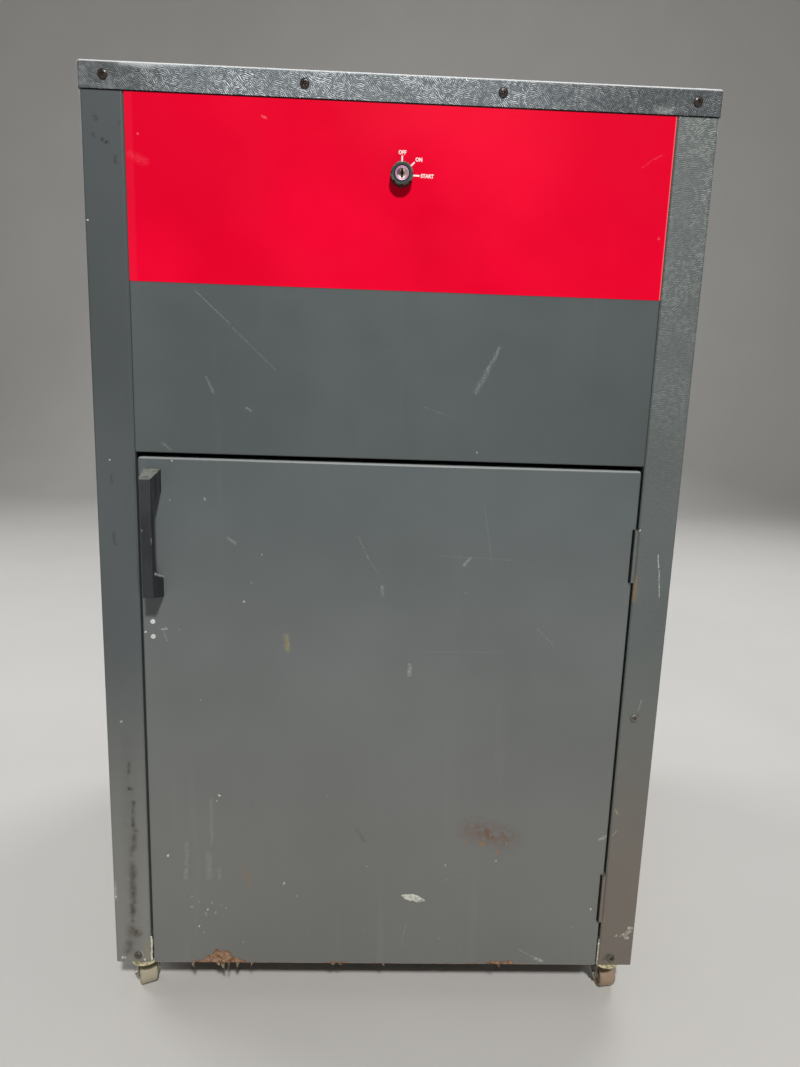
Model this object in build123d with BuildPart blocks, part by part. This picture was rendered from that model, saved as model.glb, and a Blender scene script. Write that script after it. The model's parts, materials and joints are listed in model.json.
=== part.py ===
from build123d import *
from math import pi, radians, tan
import os

os.makedirs("parts", exist_ok=True)

# Cabinet. Heights are measured from the lower edge of the side panels, depths from the front face.
cabinet_width = 610.0
cabinet_depth = 610.0
cabinet_height = 964.0
ground_clearance = 46.0
sheet = 1.2
bend = 2.5
inner_bend = 2.25
panel_edge = 1.5
flange_width = 40.5
jamb_depth = 40.0
rear_flange = 25.0
panel_drop = 2.5
slip = 0.3
overshoot = 1.0

# Top cover and screws
cover_skirt = 25.0
cover_fold = 3.0
cover_screw_margin = 23.0
screw_head_radius = 4.5
screw_head_height = 2.2
screw_shank_radius = 2.0
screw_length = 9.0
screw_clearance = 0.2

# Screws in the front flanges and in the rear flanges
flange_screw_inset = 25.5
flange_screw_height = 9.0
middle_screw_height = 317.0
rear_screw_rows = 4
rear_screw_margin = 60.0

# Door
door_rise = 594.0
door_drop = 1.5
door_seam = 5.0
door_side_gap = 2.5
door_depth = 22.0
door_corner = 3.0
liner_sheet = 1.0
liner_flange = 12.0

# Hinges
knuckle_radius = 3.0
hinge_proud = 0.5
knuckle_gap = 0.2
hinge_pin_radius = 1.5
hinge_pin_inset = 1.0
running_gap = 0.06
knuckle_split = 0.3
hinge_leaf_reach = 25.0
frame_leaf_sheet = 1.3
frame_leaf_reach = 14.0
hinge_notch_gap = 0.6
upper_hinge_low = 474.0
upper_hinge_length = 57.0
lower_hinge_low = 60.0
lower_hinge_length = 60.0

# Handle
handle_reach = 30.0
handle_inset = 14.8
handle_drop = 80.0
handle_base_width = 17.7
handle_tip_width = 11.6
handle_base_length = 136.3
handle_tip_length = 123.1
handle_bar = 6.5
handle_leg_at_door = 22.6
handle_leg_at_bar = 25.0
handle_edge = 2.0
handle_screw_radius = 2.5
handle_screw_depth = 16.0
handle_screw_head = 4.5

# Catch on the free edge of the door
catch_height = 409.3
catch_rivet_spacing = 16.7
catch_rivet_inset = 11.0
rivet_head_radius = 2.75
rivet_head_height = 1.3
rivet_radius = 1.6
rivet_edge = 1.04
rivet_tail = 1.0
strike_length = 35.0
strike_width = 12.0
strike_sheet = 1.5
strike_edge_gap = 4.0
catch_length = 44.0
catch_width = 18.0
catch_depth = 15.0
catch_slot = 3.0
catch_edge = 1.5

# Door switch
door_switch_height = 552.0
door_switch_length = 34.0
door_switch_width = 16.0
door_switch_setback = 5.0
door_switch_depth = 14.0
door_switch_edge = 2.0
door_switch_floor = 1.0
plunger_radius = 2.5
plunger_travel = 3.0
plunger_edge = 0.8

# Upper front panel, label and key switch
upper_panel_depth = 20.0
upper_panel_gap = 0.5
label_low = 767.0
label_thickness = 0.4
label_margin = 0.5
key_height = 874.0
key_bezel_radius = 10.75
key_bezel_length = 12.5
key_barrel_radius = 9.0
key_plug_radius = 7.0
key_plug_inset = 0.8
key_lip = 1.6
key_edge = 1.0
key_plug_tail = 3.0
key_barrel_depth = 24.0
key_block_size = 30.0
key_block_depth = 22.0
keyway_width = 1.8
keyway_length = 9.0
keyway_depth = 7.0
bezel_notch_count = 8
bezel_notch_width = 2.2
bezel_notch_depth = 0.9

# Base pan and rails for the bin
pan_wall = 34.0
pan_sheet = 1.5
pan_door_gap = 3.0
pan_corner_gap = 1.0
rail_size = 12.0

# Bin
bin_height = 398.0
bin_side_gap = 71.0
bin_rim_lip = 8.0
bin_rim_height = 6.0
bin_draft = 2.0
bin_wall = 2.0
bin_corner = 32.0
bin_front_gap = 50.0
bin_rear_gap = 20.0
hand_slot_length = 100.0
hand_slot_width = 30.0
hand_slot_drop = 45.0

# Columns, deck and rear wall of the chamber
column_width = 64.0
column_depth = 48.0
column_wall = 3.0
column_bend = 5.0
deck_height = 832.0
deck_sheet = 2.5
deck_wall = 12.0
deck_front_gap = 46.0
hole_clearance = 1.0
machine_bay_depth = 142.0
chamber_wall_flange = 15.0

# Power screws, their bearings and pulleys
screw_inset = 33.0
power_screw_radius = 10.0
journal_radius = 8.0
edge_break = 1.0
shaft_end = 2.0
bearing_radius = 19.0
bearing_hub_radius = 14.0
bearing_floor = 3.0
bearing_height = 13.0
bearing_bolt_reach = 21.0
bearing_bolt_lobe = 7.4
bearing_foot = 5.0
frame_bolt_radius = 2.5
frame_bolt_head = 4.2
frame_bolt_head_height = 2.8
frame_bolt_spare = 3.0
belt_pitch = 5.0
screw_pulley_teeth = 32
drive_pulley_teeth = 16
belt_width = 20.0
belt_thickness = 3.6
belt_inset = 0.6
pulley_flange = 1.5
pulley_flange_rise = 3.0
pulley_gap = 1.0
pulley_hub_radius = 13.0
pulley_hub_length = 8.0

# Drive unit, capacitor and control box
drive_inset = 70.0
gearbox_width = 110.0
gearbox_depth = 90.0
gearbox_height = 45.0
gearbox_edge = 8.0
motor_radius = 50.0
motor_length = 135.0
motor_shoulder = 12.0
motor_boss_radius = 18.0
motor_boss_length = 8.0
drive_shaft_radius = 7.0
drive_shaft_depth = 25.0
capacitor_radius = 21.0
capacitor_length = 92.0
capacitor_edge = 2.0
capacitor_spacing = 130.0
control_box_width = 110.0
control_box_depth = 80.0
control_box_height = 55.0
control_box_inset = 112.0
control_box_edge = 4.0

# Ram
ram_rest_height = 565.0
crosshead_width = 50.0
crosshead_height = 50.0
crosshead_wall = 4.0
crosshead_bend = 6.0
crosshead_end_gap = 2.0
deck_to_crosshead = 26.0
ram_side_gap = 39.0
ram_end_gap = 26.5
ram_wall = 2.5
ram_corner = 22.0
ram_rim = 22.0
platen_sheet = 4.0
platen_lip = 12.0
platen_edge = 3.0
platen_overhang = 4.0
nut_radius = 16.0
nut_flange_radius = 18.5
nut_flange_height = 6.0
nut_length = 42.0
guide_pad_length = 36.0
guide_pad_gap = 0.3
limit_switch_spacing = 100.0
limit_switch_width = 22.0
limit_switch_length = 40.0
limit_switch_height = 20.0
limit_switch_roof = 2.0
limit_switch_edge = 2.0

# Rear panel
louver_rows = 7
louver_columns = 3
louver_length = 90.0
louver_width = 5.0
louver_pitch = 16.0
louver_spacing = 140.0
upper_louver_height = 880.0
lower_louver_height = 300.0
grommet_height = 110.0
grommet_inset = 90.0
grommet_radius = 9.0
grommet_bore = 5.0
grommet_lip = 3.0

# Casters
caster_inset_x = 25.0
caster_inset_y = 33.0
wheel_radius = 15.0
wheel_width = 20.0
wheel_edge = 2.0
axle_radius = 3.0
caster_trail = 8.0
fork_sheet = 2.0
fork_side_gap = 0.8
fork_crown_radius = 14.0
fork_crown_gap = 0.4
fork_boss_radius = 6.5
axle_end = 2.0
caster_plate_sheet = 2.5
caster_plate_width = 35.0
caster_plate_length = 46.0
caster_bolt_margin = 5.5
raceway_radius = 15.0
raceway_height = 4.0
kingpin_radius = 4.0
left_caster_turn = 24.0
right_caster_turn = 8.0

# Places worked out from the sizes above
half_width = cabinet_width / 2
front_y = (handle_reach - cabinet_depth - sheet - screw_head_height) / 2
back_y = front_y + cabinet_depth
middle_y = (front_y + back_y) / 2
base_z = ground_clearance
top_z = base_z + cabinet_height
panel_top_z = top_z - sheet - panel_drop
inner_half_width = half_width - sheet
through_sheet = sheet + 2 * overshoot
jamb_x = half_width - flange_width
rear_panel_y = back_y - 2 * sheet
door_half_width = jamb_x - door_side_gap
door_back_y = front_y + door_depth
hinge_x = jamb_x - knuckle_gap - knuckle_radius
hinge_y = front_y - hinge_proud
cover_bottom_z = top_z - cover_skirt
cover_screw_z = top_z - cover_skirt / 2
cover_screw_step = (cabinet_width - 2 * cover_screw_margin) / 3
handle_x = -(door_half_width - handle_inset)
handle_z = base_z + door_rise - handle_drop
rivet_x = -(door_half_width - catch_rivet_inset)
key_z = base_z + key_height
floor_z = base_z + pan_sheet
deck_z = base_z + deck_height
deck_top_z = deck_z + deck_sheet
column_x = inner_half_width - pan_sheet
chamber_wall_gap = cabinet_depth - machine_bay_depth
bin_rim_width = cabinet_width - 2 * bin_side_gap
bin_rim_depth = chamber_wall_gap - bin_front_gap - bin_rear_gap
ram_width = bin_rim_width - 2 * ram_side_gap
ram_depth = bin_rim_depth - 2 * ram_end_gap
chamber_y = front_y + bin_front_gap + bin_rim_depth / 2
screw_x = half_width - screw_inset
drive_y = back_y - drive_inset
pulley_z = deck_top_z + bearing_height + pulley_gap
screw_pulley_radius = screw_pulley_teeth * belt_pitch / (2 * pi) - belt_inset
drive_pulley_radius = drive_pulley_teeth * belt_pitch / (2 * pi) - belt_inset
crosshead_top_z = deck_z - deck_to_crosshead
crosshead_z = crosshead_top_z - crosshead_height
platen_z = base_z + ram_rest_height
caster_x = half_width - caster_inset_x
axle_z = wheel_radius
front_caster_y = front_y + caster_inset_y
rear_caster_y = back_y - caster_inset_y
screw_points = [(-screw_x, chamber_y), (screw_x, chamber_y)]
bearing_bolt_points = [
    (x, y + end * bearing_bolt_reach)
    for x, y in screw_points
    for end in (-1, 1)
]
caster_bolt_x = caster_plate_width / 2 - caster_bolt_margin
caster_bolt_y = caster_plate_length / 2 - caster_bolt_margin
caster_bolt_points = [
    (side * caster_x + across * caster_bolt_x, y + along * caster_bolt_y)
    for side in (-1, 1)
    for y in (front_caster_y, rear_caster_y)
    for across in (-1, 1)
    for along in (-1, 1)
]
cover_screw_points = [(k * cover_screw_step / 2, cover_screw_z) for k in (-3, -1, 1, 3)]
rear_screw_x = half_width - rear_flange / 2
rear_screw_step = (cabinet_height - cover_skirt - 2 * rear_screw_margin) / (rear_screw_rows - 1)
rear_screw_points = [
    (side * rear_screw_x, base_z + rear_screw_margin + row * rear_screw_step)
    for side in (-1, 1)
    for row in range(rear_screw_rows)
]
flange_screw_x = half_width - flange_screw_inset
flange_screw_points = [
    (-flange_screw_x, base_z + flange_screw_height),
    (flange_screw_x, base_z + flange_screw_height),
    (flange_screw_x, base_z + middle_screw_height),
]
shank_hole_radius = screw_shank_radius + screw_clearance
bolt_hole_radius = frame_bolt_radius + screw_clearance


def facing_front(y):
    """Upright plane at depth y, facing the front, with its own y along height."""
    return Plane.XZ.offset(-y)


def facing_back(y):
    """Upright plane at depth y, facing the back. Its own x runs against the cabinet's."""
    return Plane((0, y, 0), x_dir=(-1, 0, 0), z_dir=(0, 1, 0))


def flat_at(z):
    return Plane.XY.offset(z)


def flat_under(z):
    """Level plane at height z that faces down, with the same x and the opposite y."""
    return Plane((0, 0, z), x_dir=(1, 0, 0), z_dir=(0, 0, -1))


def box_between(low, high, mode=Mode.ADD):
    """Box between two opposite corners."""
    size = [b - a for a, b in zip(low, high)]
    centre = tuple((a + b) / 2 for a, b in zip(low, high))
    with Locations(centre):
        Box(*size, mode=mode)


def folded_section(points, radius, thickness, side):
    """Section of a folded sheet, drawn along one face and thickened to one side."""
    with BuildLine() as outer:
        FilletPolyline(*points, radius=radius)
        offset(amount=thickness, side=side)
    make_face(outer.edges())


def screws(plane, points, head_radius, head_height, shank_radius, length):
    """Pan-head screws, their heads standing on the plane and their shanks behind it."""
    with BuildSketch(plane) as heads:
        with Locations(*points):
            Circle(head_radius)
    extrude(heads.sketch, amount=head_height)
    with BuildSketch(plane) as shanks:
        with Locations(*points):
            Circle(shank_radius)
    extrude(shanks.sketch, amount=-length)


def drill(plane, points, radius, depth):
    """Holes of the given depth behind the plane."""
    with BuildSketch(plane) as holes:
        with Locations(*points):
            Circle(radius)
    extrude(holes.sketch, amount=-depth, mode=Mode.SUBTRACT)


# Side panels: jamb, front flange, side and rear flange folded from one sheet
def side_panel(side):
    with BuildSketch(flat_at(base_z)) as plan:
        folded_section(
            [
                (side * jamb_x, front_y + jamb_depth),
                (side * jamb_x, front_y),
                (side * half_width, front_y),
                (side * half_width, back_y),
                (side * (half_width - rear_flange), back_y),
            ],
            bend,
            sheet,
            Side.LEFT if side > 0 else Side.RIGHT,
        )
    extrude(plan.sketch, amount=panel_top_z - base_z)
    jamb_notch_low = (min(side * jamb_x, side * (jamb_x + bend)), front_y + sheet, base_z)
    jamb_notch_high = (
        max(side * jamb_x, side * (jamb_x + bend)),
        front_y + jamb_depth,
        base_z + pan_wall + slip,
    )
    box_between(jamb_notch_low, jamb_notch_high, mode=Mode.SUBTRACT)
    drill(
        facing_front(front_y - overshoot), cover_screw_points + flange_screw_points,
        shank_hole_radius, through_sheet,
    )
    drill(
        facing_back(back_y + overshoot), cover_screw_points + rear_screw_points,
        shank_hole_radius, through_sheet,
    )


with BuildPart() as left_side_panel:
    side_panel(-1)

left_side_panel.part.label = "left_side_panel"
export_step(left_side_panel.part, "parts/left_side_panel.step")

with BuildPart() as right_side_panel:
    side_panel(1)

right_side_panel.part.label = "right_side_panel"
export_step(right_side_panel.part, "parts/right_side_panel.step")

# Top cover: a shallow pan turned over, its skirt outside the panels
with BuildPart() as top_cover:
    with BuildSketch(flat_at(cover_bottom_z)):
        with Locations((0, middle_y)):
            Rectangle(cabinet_width + 2 * sheet, cabinet_depth + 2 * sheet)
    extrude(amount=cover_skirt)
    fillet(top_cover.edges().filter_by(Axis.Z), radius=bend)
    fillet(top_cover.faces().sort_by(Axis.Z)[-1].edges(), radius=cover_fold)
    offset(amount=-sheet, openings=top_cover.faces().sort_by(Axis.Z)[0])
    drill(facing_front(front_y - sheet - overshoot), cover_screw_points, shank_hole_radius, through_sheet)
    drill(facing_back(back_y + sheet + overshoot), cover_screw_points, shank_hole_radius, through_sheet)

top_cover.part.label = "top_cover"
export_step(top_cover.part, "parts/top_cover.step")

with BuildPart() as cover_screws:
    screws(
        facing_front(front_y - sheet), cover_screw_points,
        screw_head_radius, screw_head_height, screw_shank_radius, screw_length,
    )
    screws(
        facing_back(back_y + sheet), cover_screw_points,
        screw_head_radius, screw_head_height, screw_shank_radius, screw_length,
    )

cover_screws.part.label = "cover_screws"
export_step(cover_screws.part, "parts/cover_screws.step")

with BuildPart() as panel_screws:
    screws(
        facing_front(front_y), flange_screw_points,
        screw_head_radius, screw_head_height, screw_shank_radius, screw_length,
    )
    screws(
        facing_back(back_y), rear_screw_points,
        screw_head_radius, screw_head_height, screw_shank_radius, screw_length,
    )

panel_screws.part.label = "panel_screws"
export_step(panel_screws.part, "parts/panel_screws.step")

# Upper front panel: a pan between the side panels' flanges, with the key switch's hole
upper_panel_z = base_z + door_rise + door_seam
upper_panel_half = jamb_x - upper_panel_gap
with BuildPart() as front_upper_panel:
    box_between(
        (-upper_panel_half, front_y, upper_panel_z),
        (upper_panel_half, front_y + upper_panel_depth, panel_top_z),
    )
    fillet(front_upper_panel.faces().sort_by(Axis.Y)[0].edges(), radius=panel_edge)
    offset(amount=-sheet, openings=front_upper_panel.faces().sort_by(Axis.Y)[-1])
    drill(
        facing_front(front_y - overshoot), [(0, key_z)],
        key_barrel_radius + screw_clearance, through_sheet,
    )
    drill(facing_front(front_y - overshoot), cover_screw_points, shank_hole_radius, through_sheet)

front_upper_panel.part.label = "front_upper_panel"
export_step(front_upper_panel.part, "parts/front_upper_panel.step")

with BuildPart() as control_label:
    box_between(
        (-upper_panel_half + label_margin, front_y - label_thickness, base_z + label_low),
        (upper_panel_half - label_margin, front_y, cover_bottom_z - slip),
    )
    drill(facing_front(front_y - overshoot), [(0, key_z)], key_bezel_radius + slip, through_sheet)

control_label.part.label = "control_label"
export_step(control_label.part, "parts/control_label.step")

# Rear panel: a sheet behind the rear flanges, with ventilation slots and the cord's hole
with BuildPart() as rear_panel:
    box_between(
        (-(inner_half_width - bend), rear_panel_y, base_z),
        (inner_half_width - bend, back_y - sheet, panel_top_z),
    )
    with BuildSketch(facing_back(back_y)) as slots:
        for height in (upper_louver_height, lower_louver_height):
            with Locations((0, base_z + height)):
                with GridLocations(louver_spacing, louver_pitch, louver_columns, louver_rows):
                    SlotOverall(louver_length, louver_width)
    extrude(slots.sketch, amount=-3 * sheet, mode=Mode.SUBTRACT)
    grommet_point = (half_width - grommet_inset, base_z + grommet_height)
    drill(facing_back(back_y), rear_screw_points + cover_screw_points, shank_hole_radius, 3 * sheet)
    drill(facing_back(back_y), [grommet_point], grommet_radius, 3 * sheet)

rear_panel.part.label = "rear_panel"
export_step(rear_panel.part, "parts/rear_panel.step")

with BuildPart() as cord_grommet:
    with BuildSketch(facing_back(back_y - sheet)):
        with Locations(grommet_point):
            Circle(grommet_radius + grommet_lip)
            Circle(grommet_bore, mode=Mode.SUBTRACT)
    extrude(amount=grommet_lip)
    with BuildSketch(facing_back(back_y - sheet)):
        with Locations(grommet_point):
            Circle(grommet_radius)
            Circle(grommet_bore, mode=Mode.SUBTRACT)
    extrude(amount=-sheet - grommet_lip)

cord_grommet.part.label = "cord_grommet"
export_step(cord_grommet.part, "parts/cord_grommet.step")

# Base pan: floor and walls, its front wall set back behind the door
pan_corner_x = door_half_width + pan_corner_gap
pan_front_y = front_y + sheet
pan_back_y = rear_panel_y
pan_middle_front_y = door_back_y + pan_door_gap


def pan_outline(inset):
    """Plan of the pan, inset all round by the given amount."""
    with BuildLine() as outline:
        Polyline(
            (-inner_half_width + inset, pan_front_y + inset),
            (-pan_corner_x - inset, pan_front_y + inset),
            (-pan_corner_x - inset, pan_middle_front_y + inset),
            (pan_corner_x + inset, pan_middle_front_y + inset),
            (pan_corner_x + inset, pan_front_y + inset),
            (inner_half_width - inset, pan_front_y + inset),
            (inner_half_width - inset, pan_back_y - inset),
            (-inner_half_width + inset, pan_back_y - inset),
            close=True,
        )
    return make_face(outline.edges(), mode=Mode.PRIVATE)


with BuildPart() as base_pan:
    with BuildSketch(flat_at(base_z)):
        add(pan_outline(0))
    extrude(amount=pan_wall)
    fillet(base_pan.edges().filter_by(Axis.Z).group_by(Axis.X)[0], radius=bend)
    fillet(base_pan.edges().filter_by(Axis.Z).group_by(Axis.X)[-1], radius=bend)
    with BuildSketch(flat_at(floor_z)):
        add(pan_outline(pan_sheet))
    extrude(amount=pan_wall, mode=Mode.SUBTRACT)
    drill(facing_front(front_y), flange_screw_points[:2], shank_hole_radius, 2 * sheet + pan_sheet)
    drill(flat_at(floor_z), bearing_bolt_points + caster_bolt_points, bolt_hole_radius, pan_sheet)

base_pan.part.label = "base_pan"
export_step(base_pan.part, "parts/base_pan.step")

# Door skin: a pan open to the back, notched for the hinge knuckles
handle_screw_points = [
    (handle_x, handle_z + end * (handle_base_length / 2 - handle_leg_at_door / 2))
    for end in (-1, 1)
]
rivet_points = [
    (rivet_x, base_z + catch_height + end * catch_rivet_spacing / 2)
    for end in (-1, 1)
]
hinge_spans = [
    (base_z + upper_hinge_low, base_z + upper_hinge_low + upper_hinge_length),
    (base_z + lower_hinge_low, base_z + lower_hinge_low + lower_hinge_length),
]
door_bottom_z = base_z - door_drop
door_top_z = base_z + door_rise
notch_x = hinge_x - knuckle_radius - hinge_notch_gap
notch_y = hinge_y + knuckle_radius + hinge_notch_gap

with BuildPart() as door_skin:
    box_between((-door_half_width, front_y, door_bottom_z), (door_half_width, door_back_y, door_top_z))
    fillet(door_skin.edges().filter_by(Axis.Y), radius=door_corner)
    fillet(door_skin.faces().sort_by(Axis.Y)[0].edges(), radius=bend)
    offset(amount=-sheet, openings=door_skin.faces().sort_by(Axis.Y)[-1])
    for low, high in hinge_spans:
        box_between(
            (notch_x, front_y - overshoot, low - hinge_notch_gap),
            (door_half_width + overshoot, notch_y, high + hinge_notch_gap),
            mode=Mode.SUBTRACT,
        )
    drill(
        facing_front(front_y - overshoot), handle_screw_points,
        handle_screw_radius + screw_clearance, through_sheet,
    )
    drill(facing_front(front_y - overshoot), rivet_points, rivet_radius + screw_clearance, through_sheet)

door_skin.part.label = "door_skin"
export_step(door_skin.part, "parts/door_skin.step")

# Door liner: closes the back of the skin, cut away round the catch strike
strike_x = -(door_half_width - strike_edge_gap)
strike_z = (base_z + catch_height - strike_length / 2, base_z + catch_height + strike_length / 2)
liner_half = door_half_width - sheet
with BuildPart() as door_liner:
    box_between(
        (-liner_half, door_back_y - liner_flange, door_bottom_z + sheet),
        (liner_half, door_back_y, door_top_z - sheet),
    )
    fillet(door_liner.edges().filter_by(Axis.Y), radius=door_corner)
    offset(amount=-liner_sheet, openings=door_liner.faces().sort_by(Axis.Y)[0])
    box_between(
        (-liner_half - overshoot, door_back_y - liner_flange - overshoot, strike_z[0] - slip),
        (strike_x + strike_width + slip, door_back_y + overshoot, strike_z[1] + slip),
        mode=Mode.SUBTRACT,
    )

door_liner.part.label = "door_liner"
export_step(door_liner.part, "parts/door_liner.step")

# Handle: a bridge that tapers towards its grip, open behind it for the fingers
grip_back_y = front_y - handle_reach + handle_bar
with BuildPart() as door_handle:
    with BuildSketch(facing_front(front_y)):
        with Locations((handle_x, handle_z)):
            Rectangle(handle_base_width, handle_base_length)
    with BuildSketch(facing_front(front_y - handle_reach)):
        with Locations((handle_x, handle_z)):
            Rectangle(handle_tip_width, handle_tip_length)
    loft()
    fillet(door_handle.faces().sort_by(Axis.Y)[0].edges(), radius=handle_edge)
    with BuildSketch(Plane.YZ.offset(handle_x - handle_base_width)) as finger_gap:
        with BuildLine():
            Polyline(
                (front_y + overshoot, handle_z + handle_base_length / 2 - handle_leg_at_door),
                (grip_back_y, handle_z + handle_base_length / 2 - handle_leg_at_bar - handle_bar),
                (grip_back_y, handle_z - handle_base_length / 2 + handle_leg_at_bar + handle_bar),
                (front_y + overshoot, handle_z - handle_base_length / 2 + handle_leg_at_door),
                close=True,
            )
        make_face()
        fillet(finger_gap.vertices().group_by(Axis.X)[0], radius=handle_edge * 2)
    extrude(amount=2 * handle_base_width, mode=Mode.SUBTRACT)
    drill(
        facing_back(front_y), [(-x, z) for x, z in handle_screw_points],
        handle_screw_radius, handle_screw_depth,
    )

door_handle.part.label = "door_handle"
export_step(door_handle.part, "parts/door_handle.step")

with BuildPart() as handle_screws:
    screws(
        facing_back(front_y + sheet), [(-x, z) for x, z in handle_screw_points],
        handle_screw_head, screw_head_height, handle_screw_radius - screw_clearance, handle_screw_depth,
    )

handle_screws.part.label = "handle_screws"
export_step(handle_screws.part, "parts/handle_screws.step")

# Catch: domed rivets through the skin hold a channel that meets the magnetic catch on the jamb
strike_back_y = door_back_y + pan_sheet
with BuildPart() as catch_strike:
    with BuildSketch(flat_at(strike_z[0])) as channel:
        folded_section(
            [
                (strike_x, front_y + sheet),
                (strike_x + strike_width, front_y + sheet),
                (strike_x + strike_width, strike_back_y),
                (strike_x, strike_back_y),
            ],
            inner_bend,
            strike_sheet,
            Side.LEFT,
        )
    extrude(channel.sketch, amount=strike_length)
    drill(facing_front(front_y), rivet_points, rivet_radius + screw_clearance, 2 * sheet + strike_sheet)

catch_strike.part.label = "catch_strike"
export_step(catch_strike.part, "parts/catch_strike.step")

with BuildPart() as door_rivets:
    screws(
        facing_front(front_y), rivet_points,
        rivet_head_radius, rivet_head_height, rivet_radius, sheet + strike_sheet + rivet_tail,
    )
    fillet(door_rivets.faces().sort_by(Axis.Y)[:2].edges(), radius=rivet_edge)

door_rivets.part.label = "door_rivets"
export_step(door_rivets.part, "parts/door_rivets.step")

catch_front_y = strike_back_y + slip
with BuildPart() as magnetic_catch:
    box_between(
        (-jamb_x, catch_front_y, base_z + catch_height - catch_length / 2),
        (-jamb_x + catch_width, catch_front_y + catch_depth, base_z + catch_height + catch_length / 2),
    )
    chamfer(magnetic_catch.faces().sort_by(Axis.X)[-1].edges(), length=catch_edge)
    with Locations((-jamb_x + catch_width / 2, catch_front_y, base_z + catch_height)):
        Box(catch_width, 2 * pan_sheet, catch_slot, mode=Mode.SUBTRACT)

magnetic_catch.part.label = "magnetic_catch"
export_step(magnetic_catch.part, "parts/magnetic_catch.step")

# Door switch on the left jamb, its plunger just clear of the closed door
switch_front_y = door_back_y + door_switch_setback
switch_z = base_z + door_switch_height
plunger_x = -jamb_x + door_switch_width / 2
with BuildPart() as door_switch:
    box_between(
        (-jamb_x, switch_front_y, switch_z - door_switch_length / 2),
        (
            -jamb_x + door_switch_width,
            switch_front_y + door_switch_depth,
            switch_z + door_switch_length / 2,
        ),
    )
    fillet(door_switch.edges().filter_by(Axis.Y), radius=door_switch_edge)
    drill(
        facing_front(switch_front_y), [(plunger_x, switch_z)],
        plunger_radius + running_gap, door_switch_depth - door_switch_floor,
    )

door_switch.part.label = "door_switch"
export_step(door_switch.part, "parts/door_switch.step")

with BuildPart() as door_switch_plunger:
    bore_end_y = switch_front_y + door_switch_depth - door_switch_floor
    plunger_length = bore_end_y - plunger_travel - door_back_y - 2 * slip
    with BuildSketch(facing_front(door_back_y + slip)):
        with Locations((plunger_x, switch_z)):
            Circle(plunger_radius)
    extrude(amount=-plunger_length)
    chamfer(door_switch_plunger.faces().sort_by(Axis.Y)[0].edges(), length=plunger_edge)

door_switch_plunger.part.label = "door_switch_plunger"
export_step(door_switch_plunger.part, "parts/door_switch_plunger.step")

# Hinges: the lower knuckle and leaf on the jamb, the upper ones on the door, a pin through both
with BuildPart() as hinge_frame_leaves:
    for low, high in hinge_spans:
        split_z = (low + high) / 2 - knuckle_split / 2
        with BuildSketch(flat_at(low)) as knuckle:
            with Locations((hinge_x, hinge_y)):
                Circle(knuckle_radius)
        extrude(knuckle.sketch, amount=split_z - low)
        box_between(
            (jamb_x - frame_leaf_sheet, hinge_y, low),
            (jamb_x, notch_y + frame_leaf_reach, split_z),
        )
        box_between(
            (jamb_x - frame_leaf_sheet, notch_y, low),
            (jamb_x, notch_y + frame_leaf_reach, high),
        )
        with BuildSketch(flat_at(low)) as bore:
            with Locations((hinge_x, hinge_y)):
                Circle(hinge_pin_radius + running_gap)
        extrude(bore.sketch, amount=high - low, mode=Mode.SUBTRACT)

hinge_frame_leaves.part.label = "hinge_frame_leaves"
export_step(hinge_frame_leaves.part, "parts/hinge_frame_leaves.step")

with BuildPart() as hinge_door_leaves:
    for low, high in hinge_spans:
        split_z = (low + high) / 2 + knuckle_split / 2
        with BuildSketch(flat_at(split_z)) as knuckle:
            with Locations((hinge_x, hinge_y)):
                Circle(knuckle_radius)
        extrude(knuckle.sketch, amount=high - split_z)
        box_between(
            (hinge_x - hinge_leaf_reach, front_y + sheet, split_z),
            (hinge_x, hinge_y + knuckle_radius, high),
        )
        box_between(
            (hinge_x - hinge_leaf_reach, front_y + sheet, low),
            (notch_x, hinge_y + knuckle_radius, high),
        )
        with BuildSketch(flat_at(low)) as bore:
            with Locations((hinge_x, hinge_y)):
                Circle(hinge_pin_radius + running_gap)
        extrude(bore.sketch, amount=high - low, mode=Mode.SUBTRACT)

hinge_door_leaves.part.label = "hinge_door_leaves"
export_step(hinge_door_leaves.part, "parts/hinge_door_leaves.step")

with BuildPart() as hinge_pins:
    for low, high in hinge_spans:
        with BuildSketch(flat_at(low + hinge_pin_inset)) as pin:
            with Locations((hinge_x, hinge_y)):
                Circle(hinge_pin_radius)
        extrude(pin.sketch, amount=high - low - 2 * hinge_pin_inset)

hinge_pins.part.label = "hinge_pins"
export_step(hinge_pins.part, "parts/hinge_pins.step")

# Key switch: barrel and contact block, notched dress nut, and the plug that the key turns
with BuildPart() as key_switch_body:
    with BuildSketch(facing_front(front_y - key_bezel_length + key_lip + slip)):
        with Locations((0, key_z)):
            Circle(key_barrel_radius)
    extrude(amount=-(key_bezel_length - key_lip - slip + key_barrel_depth))
    box_between(
        (-key_block_size / 2, front_y + key_barrel_depth, key_z - key_block_size / 2),
        (key_block_size / 2, front_y + key_barrel_depth + key_block_depth, key_z + key_block_size / 2),
    )
    drill(
        facing_front(front_y - key_bezel_length), [(0, key_z)],
        key_plug_radius + running_gap, key_bezel_length + key_barrel_depth - 2,
    )

key_switch_body.part.label = "key_switch_body"
export_step(key_switch_body.part, "parts/key_switch_body.step")

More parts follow.
